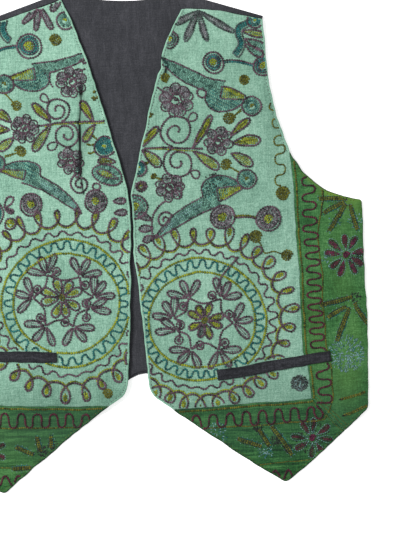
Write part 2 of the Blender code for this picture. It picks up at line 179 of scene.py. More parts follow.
def woven(name, shades, edge_shade, slub, patchy, crinkled, crinkle_scale, edge_share=0.6):
    """A plain-woven cloth: screen shades from dark to pale, the colour painted along its folded edges,
    how strongly its thick yarns and its patches show and how strongly its crinkles are painted in as
    light and shade, how close the crinkles lie each way, and how much of the fold colour the edges
    take."""
    cloth = Finish(name, 0.9, 0.04)
    place = cloth.place()
    split = {"Vector": place}
    x = cloth.add("ShaderNodeSeparateXYZ", {}, split, 0)
    y = cloth.add("ShaderNodeSeparateXYZ", {}, split, 1)
    turns = 2 * pi / (YARN_SPACING * MM)
    basket = (x * turns).sine() * (y * turns).sine() * 0.5 + 0.5
    thick_warp = cloth.grain(place, (1150.0, 60.0, 60.0), 3.0, 0.6)
    thick_weft = cloth.grain(place, (60.0, 1150.0, 60.0), 3.0, 0.6)
    crinkle = cloth.grain(place, crinkle_scale, 3.0, 0.55, 0.5)
    dye = cloth.grain(place, (16.0, 12.0, 12.0), 3.0, 0.55)
    speckle = cloth.grain(place, (640.0, 640.0, 60.0), 3.0, 0.6)
    tone = (thick_warp + thick_weft - 1.0) * slub * 0.6 + (speckle - 0.5) * slub
    # Painted light and shade: the crinkle noise that raises the surface also makes its colour lighter
    # and darker
    tone = tone + (dye - 0.5) * patchy + (crinkle - 0.5) * crinkled + 0.5
    dark, middle, pale = (from_screen(*shade) for shade in shades)
    shade = cloth.ramp(tone, (0.12, dark), (0.5, middle), (0.88, pale))
    shade = cloth.blend(cloth.share_of("faded"), shade, FADED_SHADE)
    # Painted shade in soft patches
    shade = cloth.blend(cloth.share_of("soiled"), shade, PAINTED_SHADE_COLOUR)
    # Painted light at the folded edges: painted shade on the green cottons and the welts, a paler rim
    # on the mint
    shade = cloth.blend(cloth.share_of("fold") * edge_share, shade, from_screen(*edge_shade))
    # Painted shadow in the pressed folds
    cloth.colour(cloth.blend(cloth.share_of("pressed"), shade, PAINTED_FOLD_SHADOW))
    cloth.emboss(
        (crinkle, 0.9 * MM),
        (thick_warp + thick_weft + speckle * 0.6, 0.22 * MM),
        (basket, 0.10 * MM),
    )
    return cloth.material


charcoal_linen = woven(
    "charcoal_linen",
    ((37, 38, 42), (52, 53, 57), (71, 71, 76)),
    (40, 41, 46),
    slub=0.9,
    patchy=0.5,
    crinkled=0.5,
    crinkle_scale=(150.0, 60.0, 60.0),
)


def dress(piece, slot, *materials):
    """Gives a piece its materials and fixes it to the part. Its slot is not used."""
    piece.data.materials.clear()
    for material in materials:
        piece.data.materials.append(material)
    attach(piece, "root")


def chosen(piece):
    """Makes a piece the only one that operators act on."""
    bpy.ops.object.select_all(action="DESELECT")
    piece.select_set(True)
    bpy.context.view_layer.objects.active = piece


def added(name, data):
    """A new object in the scene."""
    piece = bpy.data.objects.new(name, data)
    bpy.context.scene.collection.objects.link(piece)
    return piece


back_cloth = added("back_cloth", cad_nodes["back"].data.copy())
chosen(back_cloth)
bpy.ops.object.mode_set(mode="EDIT")
bpy.ops.mesh.select_all(action="SELECT")
bpy.ops.mesh.remove_doubles(threshold=0.005 * MM)
bpy.ops.mesh.dissolve_limited(angle_limit=radians(0.5))
bpy.ops.object.mode_set(mode="OBJECT")
rounded = back_cloth.modifiers.new("pressed_edges", "BEVEL")
rounded.width = 0.32 * MM
rounded.segments = 2
rounded.limit_method = "ANGLE"
rounded.angle_limit = radians(50)
bpy.ops.object.modifier_apply(modifier=rounded.name)
bpy.ops.object.shade_smooth_by_angle(angle=radians(60))
dress(back_cloth, "dark_linen", charcoal_linen)
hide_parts("back")

# ---------------------------------------------------------------------------------------------
# The lining: the inside of the back, of the same linen, which shows in the neck and between the
# fronts. It is a little loose, so it has soft pulls and one folded pleat above the hem.


def outline_from_above(name):
    """The outline of a CAD cloth as seen from above: its corners as x + iy in millimetres."""
    copy = bmesh.new()
    copy.from_mesh(cad_nodes[name].data)
    bmesh.ops.remove_doubles(copy, verts=copy.verts, dist=0.005 * MM)
    copy.normal_update()
    tops = {face for face in copy.faces if face.normal.z > 0.5}
    following = {}
    for face in tops:
        for corner in face.loops:
            if not any(near in tops for near in corner.edge.link_faces if near is not face):
                following[corner.vert] = corner.link_loop_next.vert
    start = min(following, key=lambda vert: (vert.co.x, vert.co.y))
    loop = [start]
    while following[loop[-1]] is not start:
        loop.append(following[loop[-1]])
    outline = np.array([complex(vert.co.x, vert.co.y) / MM for vert in loop])
    copy.free()
    return outline


def divided(line, step, closed=False):
    """A line with its stretches cut into steps no longer than the one given."""
    ends = np.roll(line, -1) if closed else line[1:]
    points = []
    for a, b in zip(line, ends):
        count = max(1, ceil(abs(b - a) / step))
        points += [a + (b - a) * i / count for i in range(count)]
    if not closed:
        points.append(line[-1])
    return np.array(points)


def distance(points, starts, ends):
    """How far each point is from the nearest of some straight stretches."""
    nearest = np.full(len(points), np.inf)
    if not len(starts):
        return nearest
    along = ends - starts
    size = np.maximum(np.abs(along) ** 2, 1e-12)
    for first in range(0, len(points), 2000):
        off = points[first : first + 2000, None] - starts[None, :]
        share = np.clip((off * along.conj()).real / size, 0.0, 1.0)
        nearest[first : first + 2000] = np.abs(off - share * along).min(axis=1)
    return nearest


def off_edge(points, outline):
    """How far each point is from a closed outline."""
    return distance(points, outline, np.roll(outline, -1))


def within(points, outline):
    """True for each point inside a closed outline."""
    inside = np.zeros(len(points), bool)
    for a, b in zip(outline, np.roll(outline, -1)):
        if a.imag == b.imag:
            continue
        spans = (a.imag > points.imag) != (b.imag > points.imag)
        cross = (b.real - a.real) * (points.imag - a.imag) / (b.imag - a.imag) + a.real
        inside ^= spans & (points.real < cross)
    return inside


class Relief:
    """The height of cloth over a fine grid, in millimetres: read from the CAD solids, softened, and
    given the creases and the crinkle that are too fine for them."""

    STEP = 1.5
    LONGEST_STRETCH = 60.0

    def __init__(self, *names):
        solids = bmesh.new()
        for name in names:
            solids.from_mesh(cad_nodes[name].data)
        tree = BVHTree.FromBMesh(solids)
        xs = [vert.co.x / MM for vert in solids.verts]
        ys = [vert.co.y / MM for vert in solids.verts]
        solids.free()
        margin = 8 * self.STEP
        self.low = complex(min(xs) - margin, min(ys) - margin)
        size = complex(max(xs) + margin, max(ys) + margin) - self.low
        self.shape = (int(size.imag / self.STEP) + 2, int(size.real / self.STEP) + 2)
        self.height = np.full(self.shape, np.nan)
        for row in range(self.shape[0]):
            for column in range(self.shape[1]):
                spot = self.low + self.STEP * complex(column, row)
                above = Vector((spot.real * MM, spot.imag * MM, 1.0))
                hit = tree.ray_cast(above, Vector((0.0, 0.0, -1.0)))[0]
                if hit is not None:
                    self.height[row, column] = hit.z / MM
        self.pressed = []
        self.spread()
        self.soften(6)

    def around(self):
        """The grid shifted one step each way, for its neighbours."""
        wide = np.pad(self.height, 1, mode="edge")
        rows, columns = self.shape
        return [wide[r : r + rows, c : c + columns] for r in range(3) for c in range(3)]

    def spread(self):
        """Carries the heights at the edge outwards over the cells that hold none."""
        while np.isnan(self.height).any():
            near = np.stack(self.around())
            known = ~np.isnan(near)
            total = np.where(known, near, 0.0).sum(axis=0)
            mean = np.where(known.any(axis=0), total / np.maximum(known.sum(axis=0), 1), np.nan)
            self.height = np.where(np.isnan(self.height), mean, self.height)

    def soften(self, passes):
        for _ in range(passes):
            self.height = sum(self.around()) / 9

    def spots(self):
        """The grid's points."""
        rows, columns = np.indices(self.shape)
        return self.low + self.STEP * (columns + 1j * rows)

    def crease(self, x, y, turn, half_length, half_width, height, sharp=False):
        """Adds a ridge, or a trough if its height is negative: rounded, or sharp along its top."""
        off = (self.spots() - complex(x, y)) * np.exp(-1j * radians(turn))
        along = (off.real / half_length) ** 2
        across = np.abs(off.imag / half_width)
        self.height += height * np.exp(-along - (across if sharp else across**2))

    def lift_beside(self, starts, ends, height, reach):
        """Raises the cloth along a line, dying away over the reach. A long stretch is a gap in it."""
        spots = self.spots()
        whole = np.abs(ends - starts) < self.LONGEST_STRETCH
        off = distance(spots.ravel(), starts[whole], ends[whole]).reshape(spots.shape)
        self.height += height * np.exp(-((off / reach) ** 2))

    def crinkle(self, length, height, seed):
        """Adds shallow uneven waves of about the length given."""
        for row in range(self.shape[0]):
            for column in range(self.shape[1]):
                spot = (self.low + self.STEP * complex(column, row)) / length
                wave = noise.noise(Vector((spot.real, spot.imag * 0.8, seed)))
                self.height[row, column] += wave * height

    def at(self, points):
        """The height at each point, between the grid's own."""
        cells = (points - self.low) / self.STEP
        column = np.clip(cells.real, 0, self.shape[1] - 1.001)
        row = np.clip(cells.imag, 0, self.shape[0] - 1.001)
        c, r = column.astype(int), row.astype(int)
        u, v = column - c, row - r
        h = self.height
        lower = h[r, c] * (1 - u) + h[r, c + 1] * u
        upper = h[r + 1, c] * (1 - u) + h[r + 1, c + 1] * u
        return lower * (1 - v) + upper * v

    def face_at(self, points):
        """The height of the cloth's face, which has sharp pressed folds in it."""
        deepest = np.zeros(len(points))
        for start, end, half_width, depth in self.pressed:
            off = distance(points, np.array([start]), np.array([end]))
            deepest = np.maximum(deepest, depth * np.exp(-((off / half_width) ** 1.5)))
        return self.at(points) - deepest

    def fold_rows(self):
        """Points close beside the pressed folds, which keep them sharp in a mesh."""
        rows = [np.zeros(0, complex)]
        for start, end, half_width, _ in self.pressed:
            row = divided(np.array([start, end]), 2.0)
            out = 1j * (end - start) / abs(end - start)
            rows += [row + out * half_width * share for share in (-1.6, -0.7, 0.0, 0.7, 1.6)]
        return np.concatenate(rows)


# Half the gap that the solids keep at a seam, which the sewn cloths close up
SEAM_CLOSE = 0.14
# The crinkle draws the cloth in unevenly. A draw's columns: length of its waves, how far it pulls
DRAWS = ((34.0, 1.5), (11.0, 0.8))
# The draws are the same in every run only if their noise has a seed
NOISE_SEED = 7
noise.seed_set(NOISE_SEED)


def drawn(points):
    """The points as the crinkle draws them, a little this way and that."""
    shifts = np.zeros(len(points), complex)
    for length, pull in DRAWS:
        for index, point in enumerate(points / length):
            wave = noise.noise_vector(Vector((point.real, point.imag, length)))
            shifts[index] += pull * complex(wave.x, wave.y)
    return points + shifts


# The rows of a staggered grid lie closer than its points by this share
STAGGER = 0.866


def cloth_points(outline, spacing, rows, extra, finished):
    """Points over an outline: its edge cut fine, rows close inside the edge, and a staggered grid
    that keeps clear of the extra points."""
    edge = divided(outline, 2.0, closed=True)
    inward = 1j * (np.roll(edge, -1) - np.roll(edge, 1))
    inward /= np.abs(inward)
    points = [np.where(distance(edge, *finished) > 1.0, edge - inward * SEAM_CLOSE, edge)]
    for depth in rows:
        row = edge + inward * depth
        keep = within(row, outline) & (off_edge(row, edge) > 0.93 * depth)
        points.append(row[keep])
    xs = np.arange(outline.real.min(), outline.real.max(), spacing)
    ys = np.arange(outline.imag.min(), outline.imag.max(), spacing * STAGGER)
    grid = xs[None, :] + 1j * ys[:, None]
    grid[1::2] += spacing / 2
    grid = grid.ravel()
    grid = grid[within(grid, outline)]
    grid = grid[off_edge(grid, edge) > rows[-1] + spacing * 0.6]
    extra = extra[within(extra, outline)]
    extra = extra[off_edge(extra, edge) > rows[-1]]
    points += [extra, grid[distance(grid, extra, extra) > spacing * 0.6]]
    return np.concatenate(points), len(edge)


def patches(points, places):
    """How much of each point some soft-edged patches take, from 0 to 1."""
    total = np.zeros(len(points))
    for x, y, turn, half_length, half_width, share in places:
        off = (points - complex(x, y)) * np.exp(-1j * radians(turn))
        total += share * np.exp(-((off.real / half_length) ** 2) - (off.imag / half_width) ** 2)
    return np.clip(total, 0.0, 1.0)


# A folded edge bulges where its cloth is turned in, and dips where its stitches hold it down.
# Columns: height, distance from the fold, half width
FOLD_BULGE = (0.28, 1.5, 1.1)
STITCHED_DIP = (0.34, 3.1, 0.55)


def swelling(off, height, place, half_width):
    """The height of a rounded swelling that lies along an edge."""
    return height * np.exp(-(((off - place) / half_width) ** 2))


def lay_cloth(name, outline, relief, thickness, spacing, finished, rows, faded=(), soiled=()):
    """A cloth with rounded edges over an outline. The finished stretches of its edge, two lists of
    ends, are the folded ones, which bulge a little and are stitched down beside the fold. Wear has
    faded some places, and painted shade darkens others."""
    points, edge_count = cloth_points(outline, spacing, rows, relief.fold_rows(), finished)
    flat = [Vector((p.real, p.imag)) for p in points]
    edge_pairs = [(i, (i + 1) % edge_count) for i in range(edge_count)]
    made, _, faces, _, _, _ = delaunay_2d_cdt(flat, edge_pairs, [], 1, 1e-5)
    points = np.array([complex(p.x, p.y) for p in made])
    depth = off_edge(points, divided(outline, 2.0, closed=True))
    depth[:edge_count] = 0.0
    round_off = np.sqrt(np.clip(1 - (1 - np.clip(depth / (thickness / 2), 0, 1)) ** 2, 0, 1))
    folded = distance(points, *finished)
    bulge, groove = swelling(folded, *FOLD_BULGE), swelling(folded, *STITCHED_DIP)
    top = relief.at(points)
    half = thickness / 2
    upper = relief.face_at(points) - half + half * round_off + bulge - groove
    lower = np.maximum(top - half - half * round_off, 0.0)
    upper = np.maximum(upper, lower + 0.1 * round_off)
    on_edge = np.arange(len(points)) < edge_count
    count = len(points)
    below = np.where(on_edge, np.arange(count), np.arange(count) + count)
    laid = drawn(points)
    verts = [(p.real * MM, p.imag * MM, z * MM) for p, z in zip(laid, upper)]
    verts += [(p.real * MM, p.imag * MM, z * MM) for p, z in zip(laid, lower)]
    up = [tuple(face) for face in faces]
    down = [tuple(int(below[i]) for i in reversed(face)) for face in faces]
    mesh = bpy.data.meshes.new(name)
    mesh.from_pydata(verts, [], up + down)
    for face in mesh.polygons[len(up) :]:
        face.material_index = 1
    for attribute, values in (
        ("fold", np.exp(-((folded / 1.3) ** 2))),
        # The pressed share lays painted shadow in the pressed folds
        ("pressed", np.clip(1.6 * (top - relief.face_at(points)), 0.0, 1.0)),
        ("faded", patches(points, faded)),
        # The last share lays painted shade in soft patches
        ("soiled", patches(points, soiled)),
    ):
        layer = mesh.attributes.new(attribute, "FLOAT", "POINT")
        layer.data.foreach_set("value", np.concatenate([values, values]))
    mesh.shade_smooth()
    piece = added(name, mesh)
    chosen(piece)
    bpy.ops.object.mode_set(mode="EDIT")
    bpy.ops.mesh.select_all(action="SELECT")
    bpy.ops.mesh.delete_loose()
    bpy.ops.object.mode_set(mode="OBJECT")
    return piece


def cloth_area(outline):
    """The area inside an outline, in square metres."""
    after = np.roll(outline, -1)
    return abs((outline.conj() * after).imag.sum()) / 2 * MM * MM


FRONT_NODES = {
    side: (f"{side}_field", f"{side}_side_border", f"{side}_hem_border")
    for side in ("right", "left")
}
outlines = {
    name: outline_from_above(name) for names in FRONT_NODES.values() for name in names
}

# A pull's columns: x, y, turn, half length, half width, height, and True if its top is sharp
LINING_PULLS = (
    (-14.0, 172.0, 84.0, 44.0, 2.8, 1.9),
    (-4.0, 150.0, 96.0, 52.0, 2.2, 1.6),
    (9.0, 196.0, 101.0, 38.0, 3.4, 1.4),
    (-30.0, 232.0, 108.0, 30.0, 5.0, 1.2),
    (16.0, 250.0, 20.0, 34.0, 7.0, 1.0),
    (4.0, -118.0, 62.0, 24.0, 1.2, 1.2, True),
    (-3.0, -140.0, 118.0, 20.0, 3.0, 0.8),
    (14.0, -160.0, 96.0, 16.0, 2.0, 0.7),
)
# The back's cut is larger than the lining by this much
BACK_OVER_LINING = 1.08

lining_outline = outline_from_above("back_lining")
lining_relief = Relief("back_lining")
flat_height = lining_relief.height.copy()
for pull in LINING_PULLS:
    lining_relief.crease(*pull)
lining_relief.crinkle(26.0, 0.6, 3.0)
lining_relief.crinkle(9.0, 0.2, 4.0)
lining_spots = lining_relief.spots().ravel()
covered = np.zeros(len(lining_spots))
for name, outline in outlines.items():
    clear = off_edge(lining_spots, outline)
    clear[within(lining_spots, outline)] = 0.0
    covered = np.maximum(covered, np.clip(1.0 - clear / 5.0, 0.0, 1.0))
loose = 1.0 - covered.reshape(lining_relief.shape)
lining_relief.height = flat_height + (lining_relief.height - flat_height) * loose
lining_cloth = lay_cloth(
    "lining_cloth", lining_outline, lining_relief, 0.95, 5.0, ([], []), (0.12, 0.45, 2.0)
)
dress(lining_cloth, "dark_linen", charcoal_linen, charcoal_linen)
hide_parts("back_lining")
cloth_area(lining_outline)
cloth_area(lining_outline) * BACK_OVER_LINING

# ---------------------------------------------------------------------------------------------
# The fronts: crinkled cotton, mint in the field and dark green in the borders, pieced flat with
# narrow seams. Neck, centre front, hem and armhole are folded in and stitched down beside the fold.

mint_cotton = woven(
    "mint_cotton",
    ((83, 120, 103), (123, 163, 143), (161, 198, 178)),
    (134, 178, 154),
    slub=1.0,
    patchy=0.7,
    crinkled=0.22,
    crinkle_scale=(170.0, 110.0, 60.0),
)
# The green cottons take a dark fold colour, painted shade along their folded edges
green_cotton = woven(
    "green_cotton",
    ((20, 50, 26), (47, 96, 53), (89, 138, 85)),
    (18, 36, 20),
    slub=0.9,
    patchy=0.8,
    crinkled=0.45,
    crinkle_scale=(90.0, 210.0, 60.0),
    edge_share=0.9,
)
hem_cotton = woven(
    "hem_cotton",
    ((8, 30, 12), (36, 82, 39), (74, 124, 68)),
    (18, 36, 20),
    slub=1.1,
    patchy=0.9,
    crinkled=1.45,
    crinkle_scale=(28.0, 290.0, 60.0),
    edge_share=0.9,
)

# A crease's columns: x, y, turn, half length, half width, height, and True if its top is sharp
CREASES = {
    "left": (
        (-59.5, 128.0, 87.0, 50.0, 4.0, 0.7),
        (-52.0, 126.0, 87.0, 48.0, 4.5, 0.3),
        (-72.0, 236.0, 70.0, 26.0, 5.0, 0.5),
        (-110.0, 252.0, 100.0, 22.0, 6.0, 0.4),
        (-126.0, -30.0, 82.0, 60.0, 9.0, 0.5),
        (-58.0, 20.0, 12.0, 34.0, 7.0, 0.4),
        (-38.0, -150.0, 96.0, 24.0, 3.5, 0.6),
        (-64.0, -168.0, 84.0, 20.0, 3.0, -0.5),
        (-214.0, -40.0, 88.0, 80.0, 4.0, 0.6),
        (-236.0, -90.0, 93.0, 60.0, 5.0, 0.7),
        (-252.0, -20.0, 90.0, 45.0, 4.0, -0.5),
        (-150.0, -232.0, 12.0, 40.0, 4.0, 0.5),
        (-196.0, -256.0, 140.0, 22.0, 3.5, 0.5),
    ),
    "right": (
        (48.0, 199.0, 62.0, 17.0, 2.6, 1.2, True),
        (53.5, 212.0, 55.0, 26.0, 2.4, -0.9),
        (74.0, 222.0, 50.0, 34.0, 7.0, 0.6),
        (84.0, 180.0, 96.0, 40.0, 7.0, 0.3),
        (130.0, 210.0, 75.0, 26.0, 8.0, 0.4),
        (26.0, 20.0, 84.0, 44.0, 4.0, 0.5),
        (148.0, -20.0, 97.0, 60.0, 9.0, 0.4),
        (216.0, -60.0, 90.0, 85.0, 4.0, 0.6),
        (232.0, -10.0, 86.0, 46.0, 4.5, 0.7),
        (243.0, -120.0, 95.0, 52.0, 4.0, 0.6),
        (256.0, -60.0, 90.0, 60.0, 3.5, -0.5),
        (150.0, -212.0, 4.0, 60.0, 3.5, 0.4),
        (120.0, -226.0, 172.0, 32.0, 3.0, 0.4),
        (196.0, -262.0, 42.0, 24.0, 3.5, 0.5),
        (232.0, -205.0, 24.0, 26.0, 3.0, 0.5),
    ),
}
# A pressed fold's columns: its two ends, half width, depth. Its valley is also darkened with painted
# shadow
PRESSED = {
    "left": (
        (-52.6 + 182.0j, -53.0 + 170.0j, 1.9, 1.2),
        (-53.0 + 170.0j, -55.6 + 140.0j, 1.0, 0.7),
        (-55.6 + 140.0j, -56.8 + 104.0j, 1.1, 1.1),
        (-56.8 + 104.0j, -57.4 + 79.0j, 1.9, 1.3),
        (-57.4 + 79.0j, -54.6 + 54.0j, 1.2, 0.7),
    ),
    "right": (
        (44.5 + 209.0j, 49.5 + 201.0j, 1.5, 1.0),
        (49.5 + 201.0j, 46.5 + 190.0j, 1.4, 1.0),
        (198.0 + 9.2j, 263.0 + 7.0j, 0.7, 0.2),
    ),
}
FRONT_THICKNESS = 1.4
# How far inside an edge its rows of points lie, for its rounding, its bulge and its stitched dip
EDGE_ROWS = (0.12, 0.4, 0.8, 1.6, 2.5, 3.1, 3.8)
# A faded place's or a painted shade patch's columns: x, y, turn, half length, half width, share
FADED = {
    "right": (
        (222.0, 52.0, -34.0, 22.0, 3.4, 0.75),
        (246.0, 38.0, -12.0, 24.0, 3.6, 0.65),
        (258.0, 26.0, -10.0, 14.0, 9.0, 0.25),
        (252.0, -130.0, 90.0, 60.0, 14.0, 0.14),
        (208.0, -115.0, 88.0, 60.0, 12.0, 0.16),
        (236.0, -178.0, 90.0, 34.0, 18.0, 0.16),
        (246.0, 4.0, 90.0, 60.0, 30.0, 0.1),
        (237.0, -60.0, 90.0, 24.0, 12.0, 0.07),
    ),
    "left": (
        (-224.0, 54.0, 30.0, 30.0, 4.0, 0.7),
        (-170.0, -232.0, 0.0, 90.0, 34.0, 0.1),
    ),
}
# Painted shade in soft patches: the fronts are darker towards the hem, over much of the right front
# away from the light, beside the right side seam, along the left front's pressed crease and in one
# patch on the left front
PAINTED_SHADE_PATCHES = {
    "right": (
        (110.0, -226.0, 0.0, 220.0, 52.0, 0.34),
        (168.0, 140.0, 96.0, 75.0, 26.0, 0.14),
        (216.0, -236.0, 35.0, 34.0, 20.0, 0.12),
        (95.0, 60.0, 90.0, 260.0, 110.0, 0.09),
        (168.0, -165.0, 0.0, 70.0, 44.0, 0.12),
        (264.0, -36.0, 90.0, 18.0, 9.0, 0.5),
    ),
    "left": (
        (-110.0, -216.0, 0.0, 220.0, 54.0, 0.5),
        (-56.0, 128.0, 87.0, 70.0, 7.0, 0.22),
        (-131.0, 156.0, 0.0, 24.0, 11.0, 0.2),
    ),
}
# The fronts lift off the lining along their inner edges, which lie within INNER_EDGE_X of the middle
EDGE_LIFT = 2.2
EDGE_LIFT_REACH = 9.0
INNER_EDGE_X = 64.0
SIDE_SEAM_X = 262.0
SHOULDER_Y = 240.0

reliefs = {}
for side, names in FRONT_NODES.items():
    relief = Relief(*names)
    for crease in CREASES[side]:
        relief.crease(*crease)
    relief.crinkle(11.0, 0.42, 7.0)
    relief.crinkle(30.0, 0.5, 11.0)
    relief.pressed += PRESSED[side]
    inner = outlines[names[0]]
    inner = inner[np.abs(inner.real) < INNER_EDGE_X]
    relief.lift_beside(inner[:-1], inner[1:], EDGE_LIFT, EDGE_LIFT_REACH)
    reliefs[side] = relief


def finished_stretches(name, others):
    """The stretches of a front piece's edge that are folded and stitched down: not its seams to the
    other pieces, to the back at the side, or to the back at the shoulder."""
    edge = divided(outlines[name], 2.0, closed=True)
    ends = np.roll(edge, -1)
    middle = (edge + ends) / 2
    free = np.abs(middle.real) < SIDE_SEAM_X
    free &= ~((middle.imag > SHOULDER_Y) & (np.abs((ends - edge).real) > np.abs((ends - edge).imag)))
    for other in others:
        free &= off_edge(middle, outlines[other]) > 0.8
    return edge[free], ends[free]


finished_edges = {}
for side, names in FRONT_NODES.items():
    for name in names:
        finished_edges[name] = finished_stretches(name, [n for n in names if n != name])
        piece = lay_cloth(
            f"{name}_cloth",
            outlines[name],
            reliefs[side],
            FRONT_THICKNESS,
            2.5,
            finished_edges[name],
            EDGE_ROWS,
            () if name.endswith("field") else FADED[side],
            PAINTED_SHADE_PATCHES[side],
        )
        cotton = {"field": mint_cotton, "side": green_cotton, "hem": hem_cotton}[name.split("_")[1]]
        slot = "mint_cotton" if name.endswith("field") else "green_cotton"
        dress(piece, slot, cotton, charcoal_linen)
        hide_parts(name)

# ---------------------------------------------------------------------------------------------
# The welts: folded strips of the charcoal linen over the pocket mouths, stitched down all round.

# Painted shade: the welts take the charcoal linen in darker shades than the lining's, with darker
# folded edges
welt_linen = woven(
    "welt_linen",
    ((26, 27, 30), (38, 39, 43), (56, 57, 62)),
    (22, 23, 26),
    slub=1.4,
    patchy=0.8,
    crinkled=1.0,
    crinkle_scale=(60.0, 240.0, 60.0),
)
welt_outlines = {}
for side in FRONT_NODES:
    name = f"{side}_welt"
    welt_outlines[side] = outline_from_above(name)
    edge = divided(welt_outlines[side], 2.0, closed=True)
    relief = Relief(name)
    relief.crinkle(9.0, 0.2, 5.0)
    welt = lay_cloth(
        f"{name}_cloth",
        welt_outlines[side],
        relief,
        0.95,
        2.4,
        (edge, np.roll(edge, -1)),
        (0.12, 0.45, 1.2, 2.2, 3.1, 4.0),
    )
    dress(welt, "dark_linen", welt_linen, welt_linen)
    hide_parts(name)
    cloth_area(welt_outlines[side])

# ---------------------------------------------------------------------------------------------
# The embroidery: chain stitch in eleven threads, worked in lines and in close rows that fill a shape.
# The left front has the right's design mirrored and a little higher, with places of its own.

# A thread's columns: its dark and its pale shade on a screen, the record's slot
THREADS = {
    "plum": ((26, 17, 24), (98, 76, 88), "plum_thread"),
    "dusk": ((42, 40, 46), (130, 130, 134), "plum_thread"),
    "garnet": ((26, 6, 14), (84, 32, 48), "plum_thread"),
    "wine": ((40, 6, 26), (104, 30, 66), "plum_thread"),
    "ink": ((10, 12, 14), (84, 96, 94), "grey_thread"),
    "jet": ((5, 9, 9), (42, 54, 46), "grey_thread"),
    "teal": ((4, 42, 48), (38, 112, 108), "teal_thread"),
    "mist": ((12, 46, 42), (108, 158, 140), "grey_thread"),
    "frost": ((50, 84, 86), (124, 158, 160), "grey_thread"),
    "olive": ((54, 68, 8), (142, 152, 38), "olive_thread"),
    "bronze": ((34, 38, 6), (100, 102, 28), "olive_thread"),
}
LEFT_SHIFT = {"field": complex(-4.0, 28.0), "border": complex(0.0, 10.0)}
ROW_GAP = 1.9
FILL_WIDTH = 2.6
BOTH, RIGHT, LEFT = ("right", "left"), ("right",), ("left",)

stitching = {side: {thread: [] for thread in THREADS} for side in FRONT_NODES}


def bend(start, first, second, end, count=24):
    """A smooth curve between two points, drawn towards two handles."""
    t = np.linspace(0.0, 1.0, count)
    s = 1 - t
    return start * s**3 + 3 * first * t * s**2 + 3 * second * t**2 * s + end * t**3


def ring(radius, start=0.0, sweep=360.0):
    """A circle or an arc."""
    return radius * np.exp(1j * np.radians(np.linspace(start, start + sweep, 49)))


def curl(outer, inner, start, sweep, hold=0.0):
    """A spiral from its outer end to its inner one, which may hold its width for a share of it."""
    t = np.linspace(0.0, 1.0, 121)
    shrunk = np.clip((t - hold) / (1.0 - hold), 0.0, 1.0)
    return (outer + (inner - outer) * shrunk) * np.exp(1j * np.radians(start + sweep * t))


def pod(length, width):
    """A club-shaped petal, from its point to its round end and back."""
    t = np.linspace(0.0, 2 * pi, 49)
    return length * (1 - np.cos(t)) / 2 + 1j * width * 0.65 * np.sin(t) * np.sin(t / 2)


def placed(line, x, y, turn=0.0):
    """A motif's line, turned and put in its place."""
    return line * np.exp(1j * radians(turn)) + complex(x, y)


def towards(turn, reach=1.0):
    """A step in the direction of a turn."""
    return reach * np.exp(1j * radians(turn))


def beside(line, offset):
    """A line at an even distance to the left of another, with its corner kept square."""
    way = np.diff(line)
    way = way / np.abs(way)
    before, after = np.insert(way, 0, way[0]), np.append(way, way[-1])
    mean = before + after
    mean = mean / np.abs(mean)
    square = np.maximum((mean * before.conj()).real, 0.5)
    return line + 1j * mean * offset / square


def run_of(line):
    """How far along a line each of its points lies."""
    return np.concatenate([[0.0], np.cumsum(np.abs(np.diff(line)))])


def at_marks(line, marks):
    """The points at some distances along a line."""
    run = run_of(line)
    return np.interp(marks, run, line.real) + 1j * np.interp(marks, run, line.imag)


def even(line, step):
    """A line with its points evenly spaced, and how far along it each lies."""
    marks = np.arange(0.0, run_of(line)[-1], step)
    return at_marks(line, marks), marks


def chain(line, cloth, lift, pitch, width):
    """The stitches along a line: rows of start, end, width, lift, and whether on the border."""
    length = run_of(line)[-1]
    count = max(1, round(length / pitch))
    points = at_marks(line, np.linspace(0.0, length, count + 1))
    same = np.ones(count)
    return np.stack(
        [points[:-1], points[1:], same * width, same * lift, same * (cloth == "border")], axis=1
    )


def sew_on(side, thread, line, lift=0.0, cloth="field", pitch=2.7, width=3.1):
    """Chain stitch along a line that is drawn where it lies on one front."""
    line = np.asarray(line, complex)
    stitching[side][thread].append(chain(line, cloth, lift, pitch, width))


def sew(thread, line, lift=0.0, cloth="field", sides=BOTH, **gauge):
    """Chain stitch along a line of the right front, and along its mirror on the left."""
    line = np.asarray(line, complex)
    if "right" in sides:
        sew_on("right", thread, line, lift, cloth, **gauge)
    if "left" in sides:
        sew_on("left", thread, -line.conj() + LEFT_SHIFT[cloth], lift, cloth, **gauge)


def fill(thread, shape, turn, gap=ROW_GAP, avoid=None, **options):
    """Close rows of chain stitch over a closed shape, in the direction of the turn."""
    options.setdefault("width", FILL_WIDTH)
    options.setdefault("pitch", 2.3)
    turned = shape * towards(-turn)
    for height in np.arange(turned.imag.min() + gap * 0.55, turned.imag.max(), gap):
        crossings = []
        for a, b in zip(turned, np.roll(turned, -1)):
            if (a.imag > height) != (b.imag > height):
                crossings.append(a.real + (b.real - a.real) * (height - a.imag) / (b.imag - a.imag))
        crossings.sort()
        for left, right in zip(crossings[::2], crossings[1::2]):
            if right - left < 2.4:
                continue
            row = (np.linspace(left + 0.8, right - 0.8, 24) + 1j * height) * towards(turn)
            if avoid is not None:
                row = row[~within(row, avoid)]
            if len(row) > 2:
                sew(thread, row, **options)


def wind(thread, x, y, radius, inner=0.4, **options):
    """A disc or a ring filled by one thread that winds inwards."""
    turns = max(radius - inner, 0.8) / ROW_GAP
    options.setdefault("width", FILL_WIDTH)
    sew(thread, placed(curl(radius, inner, 0.0, 360.0 * turns), x, y), **options)


# ---------------------------------------------------------------------------------------------
# The field's design: a wreath at each front's foot, and above it birds, lobed flowers, two spirals
# on a stem, pods, discs and knots. Each kind of motif is a function and a table of its places.


